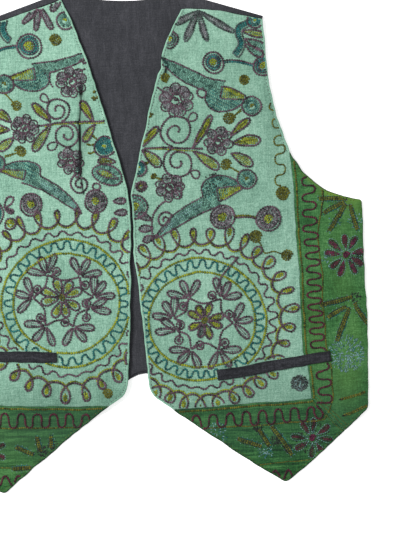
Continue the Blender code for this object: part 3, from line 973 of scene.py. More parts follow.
def sew_pod(x, y, turn, length, width, inside, outline="plum", gap=1.8, overlap=0.5, core=0.78,
            **options):
    """A pod: outlined, and filled with rows along its length, which overlap or stand apart. The
    filling's core takes its share of the pod's width, and a little more of its length."""
    shape = placed(pod(length, width), x, y, turn)
    long = core + 0.1
    filling = placed(pod(length * long, width * core) + length * (1 - long) / 2, x, y, turn)
    fill(inside, filling, turn, gap=gap, width=gap + overlap, **options)
    sew(outline, shape, 0.3, width=3.0, **options)


# A disc's heart is large above this share of the radius. Then it has two dark rings, one of them
# at the second share
LARGE_HEART = 0.3
SECOND_RING = 0.72


def sew_disc(x, y, radius, body, heart, clear=1.2, share=0.24, **options):
    """A round flower: an outline, a body wound clear of it, and a heart of another thread, which
    takes its share of the radius and has thin dark rings if it is large."""
    middle = radius * share
    wind(body, x, y, radius - clear, middle + 0.6, **options)
    wind(heart, x, y, middle, 0.3, lift=0.1, **options)
    if share > LARGE_HEART:
        sew("plum", placed(ring(middle + 1.0), x, y), 0.25, width=2.0, **options)
        sew("plum", placed(ring(radius * SECOND_RING), x, y), 0.3, width=1.9, **options)
    sew("plum", placed(ring(radius), x, y), 0.35, width=2.9, **options)


def sew_wreath(x, y, loops, bow, waves, flattened, lean, outer_width, flower, sides):
    """A wreath: a flower with sprays about it inside two olive rings with a teal wave between them,
    then a plum wave, and an outer line that loops into pods, wider with more bow. The flower lies
    off the rings' middle, and the foot may be flattened."""
    rings_middle = complex(x, y)
    x, y, petal_length, petal_width, core, dark_petal = flower
    middle = complex(x, y)

    def about(radius, angle):
        foot = np.clip(-np.sin(angle), 0.0, 1.0) ** 3
        return rings_middle + radius * (1 - flattened * foot) * np.exp(1j * angle)

    for petal in range(8):
        turn = 20.0 + lean + petal * 45.0 + (4.0 if petal % 3 else -5.0)
        root = middle + towards(turn, 4.0)
        inside = "ink" if petal == dark_petal else "olive"
        sew_pod(root.real, root.imag, turn, petal_length - petal % 3, petal_width, inside,
                core=core, sides=sides)
    wind("bronze", x, y, 4.2, lift=0.4, sides=sides)
    # A spray's columns: turn and reach of its node, its petals' turns, its curl's turn
    sprays = (
        (125.0, 33.0, (162.0, 108.0, 58.0), 235.0),
        (52.0, 32.0, (104.0, 60.0, 8.0), 158.0),
        (-5.0, 33.0, (62.0, 8.0, -48.0), 112.0),
        (-66.0, 38.0, (2.0, -58.0, -122.0), 50.0),
        (-120.0, 36.0, (-70.0, -134.0, -180.0), 18.0),
        (-165.0, 35.0, (182.0, 140.0), -80.0),
        (172.0, 37.0, (168.0, 118.0, 84.0), -50.0),
    )
    nodes = []
    for turn, reach, petals, curl_turn in sprays:
        node = middle + towards(turn + lean, reach)
        nodes.append(node)
        for petal, petal_turn in enumerate(petals):
            start = node + towards(petal_turn + lean, 2.0)
            length = 23.0 - 2.5 * (petal % 2)
            sew_pod(start.real, start.imag, petal_turn + lean, length, 7.8, "dusk",
                    gap=2.3, overlap=-0.6, sides=sides)
        knot = node + towards(curl_turn + lean, 11.0)
        for radius in (4.8, 2.0):
            sew("plum", placed(ring(radius, curl_turn, 380.0), knot.real, knot.imag),
                0.2, sides=sides, width=2.5)
        sew("plum", bend(node, node + towards(turn, -6.0), knot, knot), sides=sides)
    for node, following in zip(nodes, nodes[1:] + nodes[:1]):
        inner = (node + following) / 2 * 0.72 + middle * 0.28
        sew("plum", bend(node, inner, inner, following), sides=sides)
    angles = np.linspace(0.0, 2 * pi, 1081)
    for radius, swell, swells in ((60.0, 2.2, 2), (74.6, 0.8, 3)):
        olive_ring = about(radius + swell * np.cos(swells * angles), angles)
        sew("olive", olive_ring, 0.15, sides=sides, width=3.3)
    sway = angles - 0.42 / waves * np.sin(2 * waves * angles)
    teal_wave = about(67.5 + 5.0 * np.sin(waves * angles), sway)
    sew("teal", teal_wave, 0.1, sides=sides, width=2.9, pitch=2.3)
    waves += 1
    sway = angles - 0.30 / waves * np.sin(2 * waves * angles)
    uneven = 1.0 + 0.35 * np.sin(2 * angles + 1.9) + 0.25 * np.sin(5 * angles + 1.0)
    wandering = 1.2 * np.sin(3 * angles + 0.5)
    plum_wave = about(83.0 + wandering + 3.4 * uneven * np.sin(waves * angles), sway)
    sew("plum", plum_wave, 0.1, sides=sides, width=2.8)

    def looped(swing):
        """Points on the line that throws out one loop for each turn of the swing."""
        turn = swing / loops
        height = 20.0 + 2.5 * np.sin(turn) + 2.2 * np.sin(7 * turn) + 1.6 * np.sin(11 * turn + 1.0)
        foot = np.clip(-np.sin(turn), 0.0, 1.0) ** 2
        height = height * (1.0 + 0.22 * foot)
        reach = 91.5 + height * (0.5 - 0.5 * np.cos(swing)) + 1.5 * np.sin(3 * turn)
        width = bow * (1.0 + 0.12 * np.sin(9 * turn + 2.0) + 0.24 * foot)
        return about(reach, turn + (width * np.sin(swing) + 0.5 * np.sin(4 * turn)) / loops)

    sew("plum", looped(loops * angles), 0.35, sides=sides, width=outer_width)
    for loop in range(loops):
        tip = looped(np.array([2 * pi * (loop + 0.5)]))[0] - rings_middle
        out = tip / abs(tip)
        for off, low, high in ((-1.6, -10.5, -3.5), (0.0, -13.0, -2.2), (1.6, -10.5, -3.5)):
            heart = rings_middle + tip + out * (np.linspace(low, high, 8) + 1j * off)
            sew("olive", heart, sides=sides, width=2.3)
        under = looped(2 * pi * loop + np.linspace(-0.5 * pi, 0.5 * pi, 16))
        inwards = (rings_middle - under) / np.abs(rings_middle - under)
        sew("olive", under + 1.9 * inwards, sides=sides, width=2.3)


def sew_bird(x, y, turn, flip, tail_turn, slim, plump, sides):
    """A bird: a tapering tail that widens into a round body, a wedge of a wing and a round head. A
    flipped one has pale quills in its tail."""
    root = complex(-12, 16)

    def tail(*points):
        """The tail's own points, swung and narrowed about its root."""
        swung = []
        for point in points:
            off = (point - root) * towards(-144.0)
            swung.append(complex(off.real, off.imag * slim) * towards(144.0 + tail_turn) + root)
        return swung

    a, b, c, d = tail(-77 + 50j, -60 + 44j, -44 + 35j, -22 + 26j)
    upper = bend(a, b, c, d)
    back = np.concatenate([upper, bend(d, d + 8 - 3j, -2 + 20j, 4 + 18.5j)])
    a, b, c = tail(-34 + 12j, -60 + 24j, -77 + 49j)
    lower = bend(-17 + 7j, a, b, c)
    front = bend(26 - 5j, 18 - 14j, 6 - 18j, -4 - 16j)
    rump = bend(-4 - 16j, -18 - 12j, -20 - 2j, -17 + 7j)
    belly = np.concatenate([front, rump, lower])
    wing = np.array([1 + 13.5j, 10 + 11.5j, 29 + 2j, 28 - 2j, -1 - 1.5j])
    shape = np.concatenate([back, [3 + 14j, 10 + 12j, 28 + 2j], belly])

    def at(line):
        line = line.real + 1j * line.imag * plump
        return placed(line.conj() if flip else line, x, y, turn)

    lean = (28.0 if flip else -28.0) + turn
    fill("mist", at(shape), lean, avoid=at(wing), sides=sides)
    fill("olive", at(1.0 + 0.4j + wing * 0.92), turn - 8.0, gap=1.6, width=2.5, sides=sides)
    if flip:
        for share in (0.3, 0.5, 0.7):
            quill = upper * (1 - share) + lower[::-1] * share
            sew("frost", at(quill[4:]), 0.35, sides=sides, width=1.3)
    breast = np.concatenate([belly[:48], [-9 + 13j, 0 + 1j, 14 - 1j]])
    fill("teal", at(breast), lean, gap=3.6, width=1.6, lift=0.3, sides=sides)
    sew("plum", at(np.append(wing, wing[0])), 0.35, sides=sides, width=2.5)
    sew("plum", at(back), 0.3, sides=sides, width=2.6)
    sew("plum", at(belly), 0.3, sides=sides, width=2.6)
    middle = at(np.array([complex(35, -9)]))[0]
    sew_disc(middle.real, middle.imag, 11.0, "mist", "bronze", 0.9, sides=sides)
    sew("teal", placed(ring(6.2), middle.real, middle.imag), 0.35, sides=sides, width=1.7)


def sew_lobed_flower(x, y, radius, lobes, turn, sides):
    """A dense flower: long and round lobes by turns about a tangled middle."""
    for lobe in range(lobes):
        way = turn + 360.0 * lobe / lobes + (6.0, -5.0, 1.0)[lobe % 3]
        size = radius * (0.29, 0.34, 0.31)[lobe % 3]
        stretch = (1.25, 1.0, 1.12)[lobe % 3]
        out = complex(x, y) + towards(way, radius - size * stretch)
        wind("dusk", out.real, out.imag, size - 1.3, 0.3, sides=sides)
        vein = np.linspace(-0.5, 0.6, 6) * size + 0j
        sew("ink", placed(vein, out.real, out.imag, way), 0.45, sides=sides, width=1.5)
        edge = ring(size, 180.0, 372.0)
        edge = stretch * edge.real + 1j * edge.imag
        sew("plum", placed(edge, out.real, out.imag, way), 0.35, sides=sides, width=2.2)
    for share, off in ((0.4, 20.0), (0.22, 200.0), (0.1, 80.0)):
        middle = complex(x, y) + towards(off + turn, radius * 0.07)
        tangle = placed(ring(radius * share, off, 330.0), middle.real, middle.imag)
        sew("plum", tangle, 0.4, sides=sides, width=2.3)


# A wreath's columns: x, y, loops, their bow, waves, how far its foot is flattened, lean, width of
# its outer line, flower, sides. Its flower's columns: x, y, length, width and core of its petals,
# which of them is dark
sew_wreath(75.8, -101.0, 33, 2.85, 30, 0.085, 0.0, 2.8, (79.9, -100.3, 18.5, 7.8, 0.78, 5), RIGHT)
sew_wreath(77.0, -100.5, 31, 2.3, 28, 0.0, 9.0, 3.1, (82.1, -94.0, 21.0, 9.6, 0.62, None), LEFT)
link = bend(towards(58, 88), towards(60, 76), towards(67, 62), towards(62, 42))
sew("plum", placed(link, 75.8, -101.0), 0.4, sides=RIGHT)

# A bird's columns: x, y, turn, flipped, turn of its tail, how slim its tail is, how plump the
# whole bird is, sides
for bird in (
    (110.6, 159.2, -3.0, False, 0.0, 1.0, 1.0, RIGHT),
    (101.0, 52.4, 3.0, True, 0.0, 1.0, 1.0, RIGHT),
    (102.0, 163.6, 4.0, False, 8.0, 0.75, 0.9, LEFT),
    (117.5, 56.0, 4.0, True, -14.0, 0.95, 0.74, LEFT),
):
    sew_bird(*bird)

# A lobed flower's columns: x, y, radius, lobes, turn, sides
for flower in (
    (57.8, 158.0, 20.0, 9, 10.0, RIGHT),
    (105.0, 108.5, 17.5, 7, 24.0, RIGHT),
    (46.0, 57.0, 17.0, 7, 0.0, RIGHT),
    (59.2, 157.0, 18.0, 8, -10.0, LEFT),
    (116.2, 105.2, 16.8, 8, 12.0, LEFT),
    (64.5, 65.0, 16.0, 7, 30.0, LEFT),
):
    sew_lobed_flower(*flower)

# The stem, with a spiral on each side of it that throws out a small loop
# A spiral's columns: x, y, radius, the way it goes, turn of its loop, sides
SPIRALS = (
    (56.5, 121.5, 17.8, 1, 42.0, RIGHT),
    (57.0, 86.0, 16.8, -1, 40.0, RIGHT),
    (76.5, 125.0, 13.8, 1, 45.0, LEFT),
    (67.5, 96.0, 13.8, -1, 38.0, LEFT),
)
sew("plum", bend(18 + 104.5j, 36 + 103.5j, 60 + 103j, 86 + 100.5j), 0.2, sides=RIGHT)
sew("olive", bend(24 + 103.5j, 40 + 101.5j, 60 + 100j, 80 + 98j), 0.1, sides=RIGHT, width=1.9)
sew("plum", bend(17 + 109j, 40 + 110j, 64 + 112j, 100 + 108j), 0.2, sides=LEFT)
sew("olive", bend(20 + 107j, 40 + 108j, 64 + 110j, 92 + 107j), 0.1, sides=LEFT, width=1.9)
for x, y, radius, lean, loop_turn, sides in SPIRALS:
    swirl = placed(curl(radius, 2.4, -104.0 * lean, -640.0 * lean, 0.33), x, y)
    sew("plum", swirl, 0.15, sides=sides)
    crown = complex(x, y) + towards(loop_turn * lean, radius)
    small_loop = placed(pod(13.0, 9.5), crown.real, crown.imag, (loop_turn - 6.0) * lean)
    sew("plum", small_loop, 0.2, sides=sides, width=2.4)

# A pod's columns: x, y, turn, length, width, inside, sides
PODS = (
    (75.0, 102.0, 57.5, 44.0, 8.0, "olive", RIGHT),
    (75.0, 98.0, -36.0, 36.0, 11.0, "olive", RIGHT),
    (119.0, 114.0, 40.0, 31.0, 8.0, "olive", RIGHT),
    (120.0, 104.5, 8.0, 34.0, 12.5, "olive", RIGHT),
    (119.0, 93.0, -29.0, 28.0, 11.5, "olive", RIGHT),
    (12.0, 104.5, 46.0, 34.0, 8.5, "olive", RIGHT),
    (16.0, 103.0, -44.0, 29.0, 11.5, "olive", RIGHT),
    (91.8, 250.0, -48.0, 31.0, 6.2, "dusk", LEFT),
    (91.8, 250.0, -79.0, 32.0, 6.2, "dusk", LEFT),
    (91.8, 250.0, -112.0, 33.0, 6.2, "dusk", LEFT),
    (66.0, 257.0, -48.0, 20.0, 8.0, "dusk", LEFT),
    (139.0, 236.0, -13.0, 25.0, 8.0, "olive", BOTH),
    (141.0, 227.0, -28.0, 27.0, 9.5, "mist", BOTH),
    (141.0, 220.0, -33.0, 25.0, 9.0, "mist", RIGHT),
    (85.4, 112.0, 47.0, 30.0, 9.0, "olive", LEFT),
    (84.5, 109.5, -53.0, 38.0, 10.0, "olive", LEFT),
    (36.0, 109.5, 61.0, 29.0, 8.5, "olive", LEFT),
    (34.0, 107.0, -52.0, 24.0, 8.0, "olive", LEFT),
    (132.0, 113.5, 42.0, 20.0, 9.5, "olive", LEFT),
    (134.0, 105.5, 2.0, 22.0, 11.0, "olive", LEFT),
    (130.0, 96.0, -40.0, 23.0, 10.0, "olive", LEFT),
    (22.0, 20.0, 152.0, 16.0, 8.0, "dusk", RIGHT),
    (24.0, 10.0, 176.0, 16.0, 8.0, "dusk", RIGHT),
    (26.0, 2.0, 204.0, 15.0, 8.0, "dusk", RIGHT),
    (17.0, 16.0, 178.0, 15.0, 7.5, "dusk", LEFT),
    (17.0, 2.0, 176.0, 15.0, 7.5, "dusk", LEFT),
    (58.0, 45.0, 102.0, 15.0, 7.5, "mist", BOTH),
)
for x, y, turn, length, width, inside, sides in PODS:
    ribbed = inside == "olive" and turn > 0.0
    open_rows = inside == "olive" and not ribbed
    sew_pod(x, y, turn, length, width, inside, overlap=0.1 if open_rows else 0.5, sides=sides)
    if ribbed:
        rib = placed(np.linspace(0.15, 0.8, 9) * length + 0j, x, y, turn)
        sew("bronze", rib, 0.3, sides=sides, width=1.9)

# The dark pods that hang from the right shoulder. Columns: turn, length
for turn, length in ((-115.0, 40.0), (-76.0, 37.0), (-33.0, 50.0), (-150.0, 30.0)):
    sew_pod(88.0, 262.0, turn, length, 6.8, "dusk", "ink", sides=RIGHT)


def sew_band(thread, line, half_width, outline, sides):
    """A curved band with round ends: outlined, and filled with rows along it."""
    for off in np.arange(-half_width + 1.4, half_width - 1.0, 1.8):
        sew(thread, beside(line, off), sides=sides, width=FILL_WIDTH)
    left, right = beside(line, half_width), beside(line, -half_width)
    sew(outline, np.concatenate([left, right[::-1], left[:1]]), 0.3, sides=sides, width=2.4)


# The shoulder's long-necked figure, in teal
neck = bend(150 + 246j, 134 + 242j, 134 + 238j, 136 + 228j)
neck = np.concatenate([neck[:-1], bend(136 + 228j, 140 + 220j, 136 + 214j, 129 + 208j)])
sew_band("teal", neck, 3.8, "ink", BOTH)
sew_disc(153.5, 247.5, 8.5, "teal", "olive", sides=BOTH)

# A disc's columns: x, y, radius, body, heart, clear of its outline, its heart's share, sides
DISCS = (
    (102.9, 200.6, 12.0, "teal", "olive", 2.6, 0.36, RIGHT),
    (161.0, 194.4, 11.0, "teal", "olive", 1.8, 0.36, RIGHT),
    (106.4, 20.1, 14.0, "dusk", "olive", 1.4, 0.38, RIGHT),
    (158.9, 15.4, 14.0, "dusk", "olive", 1.4, 0.36, RIGHT),
    (10.0, 82.0, 9.5, "teal", "olive", 1.4, 0.25, RIGHT),
    (13.0, 60.0, 6.0, "bronze", "olive", 1.4, 0.36, RIGHT),
    (4.0, 36.0, 14.0, "mist", "olive", 1.4, 0.36, RIGHT),
    (53.5, 230.0, 10.0, "mist", "olive", 2.2, 0.36, RIGHT),
    (63.0, 229.0, 10.5, "mist", "olive", 2.0, 0.25, LEFT),
    (106.6, 201.0, 13.8, "teal", "olive", 2.4, 0.38, LEFT),
    (158.0, 194.0, 11.0, "teal", "olive", 1.8, 0.36, LEFT),
    (24.6, 80.0, 12.2, "teal", "olive", 1.4, 0.22, LEFT),
    (112.8, 17.0, 13.0, "dusk", "olive", 1.4, 0.38, LEFT),
    (37.2, 16.8, 13.0, "dusk", "olive", 1.4, 0.34, LEFT),
    (164.0, 8.0, 18.0, "teal", "olive", 1.6, 0.25, LEFT),
    (138.0, -4.9, 6.5, "olive", "olive", 1.4, 0.24, LEFT),
)
for x, y, radius, body, heart, clear, share, sides in DISCS:
    sew_disc(x, y, radius, body, heart, clear, share, sides=sides)
# Two rows of thread make each stem between a pair of discs
for thread, shift in (("plum", 0.9), ("teal", -0.9)):
    sew(thread, bend(115 + 201j, 128 + 203j, 140 + 199j, 150 + 196j) + 1j * shift)
for thread, shift in (("plum", -0.9), ("bronze", 0.9)):
    stem = bend(120.5 + 19j, 128 + 20.5j, 138 + 20j, 145 + 17.5j) + 1j * shift
    sew(thread, stem, sides=RIGHT)
# Leaves between two of the discs, and the rings, curls and stems about the top lobed flower
sew("plum", placed(pod(16.0, 7.5), 144.5, 14.5, 129.0), 0.1, sides=LEFT)
sew_pod(144.0, 13.5, 207.0, 11.0, 5.5, "plum", sides=LEFT)
sew("plum", placed(ring(5.6), 88.4, 165.0), 0.1, sides=RIGHT)
sew("plum", bend(90 + 171j, 87 + 165j, 84 + 158j, 81 + 152j), sides=LEFT, width=2.8)
sew("plum", bend(31 + 177j, 40 + 172j, 44 + 168j, 50 + 166j), sides=RIGHT)
sew("plum", placed(curl(5.0, 1.0, 0.0, 400.0), 44.5, 180.0), sides=LEFT)
sew("plum", bend(42 + 171j, 48 + 170j, 50 + 168j, 54 + 166j), sides=LEFT)

# The oval flower at the left front's edge, a pale ring round an olive leaf
oval = ring(1.0)
oval = 17.5 * oval.real + 11.0j * oval.imag
for share in (0.88, 0.74, 0.60, 0.46):
    sew("mist", placed(oval * share, 22.0, 47.0, 22.0), sides=LEFT)
sew_pod(9.5, 42.0, 22.0, 26.0, 7.5, "olive", sides=LEFT)
sew("plum", placed(oval, 22.0, 47.0, 22.0), 0.3, sides=LEFT)
sew_pod(12.0, 61.0, 8.0, 21.0, 9.0, "bronze", sides=LEFT)

# A knot's columns: x, y, radius, x and y of the end of its short stem, sides
KNOTS = (
    (138.2, 177.9, 6.5, 143.5, 175.0, RIGHT),
    (118.6, 134.3, 7.0, 133.0, 143.0, RIGHT),
    (112.7, 80.7, 6.5, 134.0, 66.0, RIGHT),
    (176.6, 43.9, 8.5, 173.5, 53.0, BOTH),
    (143.9, -5.0, 7.5, 148.0, -10.0, RIGHT),
    (179.1, -28.9, 6.5, 175.0, -27.0, RIGHT),
    (45.5, 184.0, 5.5, 47.0, 178.0, RIGHT),
    (27.6, 142.0, 3.0, 24.0, 137.0, RIGHT),
    (20.0, 86.5, 2.6, 26.0, 89.0, RIGHT),
    (28.0, 71.0, 4.0, 38.0, 66.0, RIGHT),
    (76.5, 206.4, 7.0, 83.0, 206.0, LEFT),
    (124.5, 131.8, 6.0, 139.5, 148.3, LEFT),
    (122.6, 79.2, 6.5, 141.0, 73.0, LEFT),
    (43.5, 84.0, 2.2, 37.0, 83.0, LEFT),
    (37.0, 93.0, 2.2, 33.0, 89.0, LEFT),
    (42.0, 73.5, 2.2, 36.0, 75.0, LEFT),
    (31.5, 143.4, 2.6, 35.0, 143.0, LEFT),
    (35.0, 135.6, 3.0, 30.0, 137.0, LEFT),
)
for x, y, radius, stem_x, stem_y, sides in KNOTS:
    wind("bronze", x, y, radius, sides=sides, width=2.7)
    sew("jet", placed(ring(radius * 0.55), x, y), 0.35, sides=sides, width=1.0)
    for off in (0.0, 1.7):
        end = complex(stem_x, stem_y + off)
        sew("bronze", np.array([complex(x, y), end]), sides=sides, width=2.0)

# The bronze wave down the armhole, and the curly stem between the two lowest knots
steps = np.linspace(0.0, 1.0, 200)
armhole_way = bend(171 + 162j, 173 + 126j, 180 + 98j, 173.5 + 53j, 200)
swing = 6.3 * np.sin(2 * pi * 5.0 * steps) + 2.0j * np.sin(4 * pi * 5.0 * steps)
sew("bronze", armhole_way + swing, pitch=2.3, width=2.5)
sew("bronze", bend(148 - 10j, 154 - 24j, 150 - 26j, 160 - 23.5j), width=2.4, sides=RIGHT)
sew("bronze", bend(160 - 23.5j, 168 - 21j, 166 - 24j, 175 - 27j), width=2.4, sides=RIGHT)

# The curls below the lowest lobed flowers, with their stems
sew("plum", placed(curl(10.0, 1.5, 40.0, 560.0), 38.0, 20.0), sides=RIGHT)
sew("plum", bend(40 + 42j, 28 + 34j, 18 + 24j, 24 + 4j), sides=RIGHT)
sew("plum", bend(47 + 27j, 44 + 12j, 36 + 6j, 22 + 0j), sides=RIGHT)
sew("plum", placed(curl(13.0, 1.5, 90.0, -700.0), 54.1, 37.5), 0.1, sides=LEFT)
sew("plum", placed(ring(4.4), 35.0, 33.5), 0.1, sides=LEFT)

# Clusters of short stitches that lie every way: the seed head beyond the right welt, smaller ones
# by the feathers, and dark specks over the discs, the flowers and a bird. Last, a knot at the left
# front's foot
# A cluster's columns: thread, x, y, reach, stitches, cloth, sides
CLUSTERS = (
    ("ink", 186.4, -179.0, 9.4, 290, "field", RIGHT),
    ("jet", 135.0, -227.0, 6.0, 60, "border", RIGHT),
    ("jet", 158.0, -244.0, 7.0, 70, "border", RIGHT),
    ("jet", 171.0, -256.0, 5.0, 34, "border", RIGHT),
    ("jet", 104.0, -247.0, 5.5, 44, "border", LEFT),
    ("jet", 117.0, -254.5, 6.5, 56, "border", LEFT),
    ("jet", 257.0, -82.0, 6.0, 30, "border", BOTH),
    ("jet", 199.0, -243.0, 19.0, 80, "border", RIGHT),
    ("jet", 184.2, -252.0, 17.0, 50, "border", LEFT),
    ("jet", 186.4, -179.0, 9.0, 24, "field", RIGHT),
    ("frost", 186.4, -179.0, 8.5, 36, "field", RIGHT),
    ("jet", 106.4, 20.1, 12.0, 44, "field", RIGHT),
    ("jet", 158.9, 15.4, 12.0, 44, "field", RIGHT),
    ("jet", 112.8, 17.0, 11.0, 30, "field", LEFT),
    ("jet", 37.2, 16.8, 11.0, 30, "field", LEFT),
    ("jet", 57.8, 158.0, 17.0, 16, "field", RIGHT),
    ("jet", 105.0, 108.5, 15.0, 56, "field", RIGHT),
    ("jet", 46.0, 57.0, 14.5, 50, "field", RIGHT),
    ("jet", 59.2, 157.0, 15.5, 26, "field", LEFT),
    ("jet", 116.2, 105.2, 14.0, 50, "field", LEFT),
    ("jet", 64.5, 65.0, 14.0, 36, "field", LEFT),
    ("jet", 79.9, -100.3, 12.0, 36, "field", RIGHT),
    ("jet", 98.0, 57.0, 14.0, 60, "field", RIGHT),
    ("jet", 261.0, -38.0, 9.0, 70, "border", RIGHT),
)
chance = np.random.default_rng(9)
for thread, x, y, reach, count, cloth, sides in CLUSTERS:
    # Dark specks in the field lie on top of other stitches
    raised, width = (0.4, 1.5) if (thread, cloth) == ("jet", "field") else (0.0, 1.2)
    for _ in range(count):
        start = complex(x, y) + towards(360.0 * chance.random(), reach * chance.random() ** 0.5)
        way = towards(chance.choice((35.0, 95.0, 150.0)) + 20.0 * chance.random(), 2.2)
        lift = 0.3 * chance.random() + raised
        sew(thread, np.array([start, start + way]), lift, cloth, sides, width=width, pitch=2.2)
wind("bronze", 33.0, -208.0, 6.0, sides=LEFT)

# ---------------------------------------------------------------------------------------------
# The borders' design: slender flowers, leaves like feathers, bars and tufts, and the lines that
# follow the seams.


def speck(line, step, length, sides, width=1.1):
    """Separate short pale stitches along a line on the border."""
    spots, _ = even(line, step)
    headings = np.gradient(spots)
    for spot, heading in zip(spots, headings / np.abs(headings)):
        dash = np.array([spot, spot + heading * length])
        sew("frost", dash, 0.1, cloth="border", width=width, pitch=length, sides=sides)


def sew_slender_flower(x, y, reach, petals, turn, dark_every, width, sides):
    """A border flower: club-shaped petals in wine, some of them in garnet, with pale stitches round
    them, and a wound heart."""
    for petal in range(petals):
        way = turn + 360.0 * petal / petals + (4.0 if petal % 2 else -3.0)
        root = complex(x, y) + towards(way, 7.5)
        length = reach - 7.5 - (petal % 3) * 1.4
        thread = "wine" if (petal + 1) % dark_every else "garnet"
        fill(thread, placed(pod(length, width), root.real, root.imag, way), way, gap=1.5,
             cloth="border", width=2.0, sides=sides)
        edge = placed(pod(length + 0.6, width + 1.4) - 0.3, root.real, root.imag, way)
        sew("jet" if petal % 2 else "garnet", edge, 0.1, cloth="border", width=1.2, sides=sides)
        around = placed(pod(length + 1.6, width + 4.2) - 1.0, root.real, root.imag, way)
        speck(around, 2.7, 1.6, sides)
    wind("wine", x, y, 4.2, cloth="border", lift=0.2, sides=sides)
    for radius in (5.6, 7.6):
        speck(placed(ring(radius), x, y), 2.8, 1.5, sides)


# A slender flower's columns: x, y, reach, petals, turn, which of its petals are dark, their width,
# sides
for flower in (
    (247.5, -31.0, 26.0, 9, 12.0, 3, 4.8, BOTH),
    (199.0, -243.0, 25.0, 8, 35.0, 1, 3.8, RIGHT),
    (184.2, -252.0, 25.0, 8, 20.0, 1, 3.8, LEFT),
):
    sew_slender_flower(*flower)


def sew_feather(x, y, turn, length, width, sides):
    """A border leaf: a bronze core crossed by dark dashes, edged with one teal row and one dark one,
    and a ruff of short pale stitches."""
    half = width / 2
    for off in (-1.1, 1.1):
        rib = np.linspace(0.6, length - 0.6, 12) + 1j * off
        sew("bronze", placed(rib, x, y, turn), 0.15, cloth="border", width=2.3, sides=sides)
    for along in np.arange(1.0, length - 3.0, 3.1):
        dash = np.array([along - 2.4j, along + 1.4 + 2.4j])
        sew("jet", placed(dash, x, y, turn), 0.45, cloth="border", width=1.0, pitch=5.0,
            sides=sides)
    for lean in (-1, 1):
        edge = bend(0j, complex(3, lean * half), complex(length - 4, lean * half),
                    complex(length + 1, lean))
        thread = "teal" if lean > 0 else "jet"
        sew(thread, placed(edge, x, y, turn), cloth="border", width=1.3, sides=sides)
        speck(placed(edge + lean * 1.4j, x, y, turn), 5.6, 1.4, sides, 0.8)


# A feather's columns: x, y, turn, length, width, sides
FEATHERS = (
    (252.0, 34.0, 176.0, 33.0, 7.0, BOTH),
    (249.0, 31.0, 205.0, 27.0, 7.0, BOTH),
    (250.0, 29.0, 237.0, 38.0, 7.0, BOTH),
    (254.0, 28.0, 286.0, 32.0, 7.0, BOTH),
    (254.0, -80.0, 192.0, 40.0, 7.0, BOTH),
    (247.0, -90.0, 207.0, 27.0, 7.5, BOTH),
    (250.0, -91.0, 246.0, 44.0, 7.0, BOTH),
    (255.0, -86.0, 297.0, 30.0, 7.0, BOTH),
    (136.0, -228.0, -59.0, 26.0, 8.5, RIGHT),
    (151.0, -225.0, -57.0, 44.0, 9.0, RIGHT),
    (111.0, -239.0, -21.0, 30.0, 7.5, RIGHT),
    (117.4, -255.8, 74.7, 20.5, 7.0, LEFT),
    (105.7, -250.9, 92.6, 15.1, 6.5, LEFT),
    (126.6, -258.3, 27.4, 24.1, 7.0, LEFT),
    (130.2, -272.5, 1.0, 22.3, 7.0, LEFT),
)
for feather in FEATHERS:
    sew_feather(*feather)

# A plain bar's columns: x, y, turn, length. It is sewn dark at its root
for x, y, turn, length in ((232.0, -200.0, 16.0, 33.0), (235.0, -219.0, 23.0, 32.0)):
    for off in (-0.8, 0.8):
        bar = placed(np.linspace(2.0, length, 12) + 1j * off, x, y, turn)
        sew("bronze", bar, 0.1, cloth="border", width=1.8)
    root = placed(np.linspace(0.0, 6.0, 4) + 0j, x, y, turn)
    sew("jet", root, 0.3, cloth="border", width=1.9)

# Tufts: short pale and teal stitches thrown out from a middle. Columns: x, y, reach, stitches, the
# teal ones' share, sides
chance = np.random.default_rng(4)
for x, y, reach, count, teal_share, sides in (
    (243.0, -146.0, 20.0, 330, 0.2, BOTH),
    (144.0, -255.0, 9.0, 50, 0.45, RIGHT),
    (88.0, -232.0, 12.0, 100, 0.5, RIGHT),
    (262.0, 8.0, 9.0, 26, 0.2, BOTH),
    (228.0, -34.0, 8.0, 26, 0.3, BOTH),
    (236.0, 8.0, 6.0, 14, 0.3, BOTH),
):
    for _ in range(count):
        way = towards(360.0 * chance.random())
        start = complex(x, y) + way * reach * chance.random() ** 0.6
        thread = "teal" if chance.random() < teal_share else "frost"
        way = way * towards(40.0 * chance.random() - 20.0, 2.5)
        sew(thread, np.array([start, start + way]), cloth="border", width=1.1, pitch=2.5,
            sides=sides)


# The borders' lines, which follow the seam round from the armhole to the hem: one close beside it,
# one near the outer edge, and one that snakes between them and is dark in places. Then the lines
# along the mitre, and a straight line and a wave below the hem's seam. A table's first row is how
# far along the line each place is, and its second row is the value there
OUTER_LINE = (
    (0, 30, 58, 96, 121, 141, 182, 260, 290),
    (33.0, 33.5, 33.3, 24.8, 25.3, 27.8, 26.4, 27.5, 25.5),
)
SNAKE_PERIOD = ((0, 50, 110, 200, 250, 420), (23.0, 19.0, 16.0, 13.8, 19.0, 19.0))
SNAKE_DEPTH = ((0, 90, 420), (7.0, 8.8, 8.4))
# The snake's points are a step apart. Its middle line lies this far from the seam, and is softened
# over this many points each way
SNAKE_STEP = 0.8
SNAKE_MIDDLE = 17.0
SNAKE_SOFTENED = 12
# The outer line has a second, dark one beside it between these two distances
BESIDE_ARMHOLE = (18.0, 78.0)


def seam_line(name, others, key):
    """The seam of a front's field along other pieces, sorted by the key."""
    edge = divided(outlines[name], 2.0, closed=True)
    near = np.zeros(len(edge), bool)
    for other in others:
        near |= off_edge(edge, outlines[other]) < 0.6
    return np.array(sorted(edge[near], key=key))


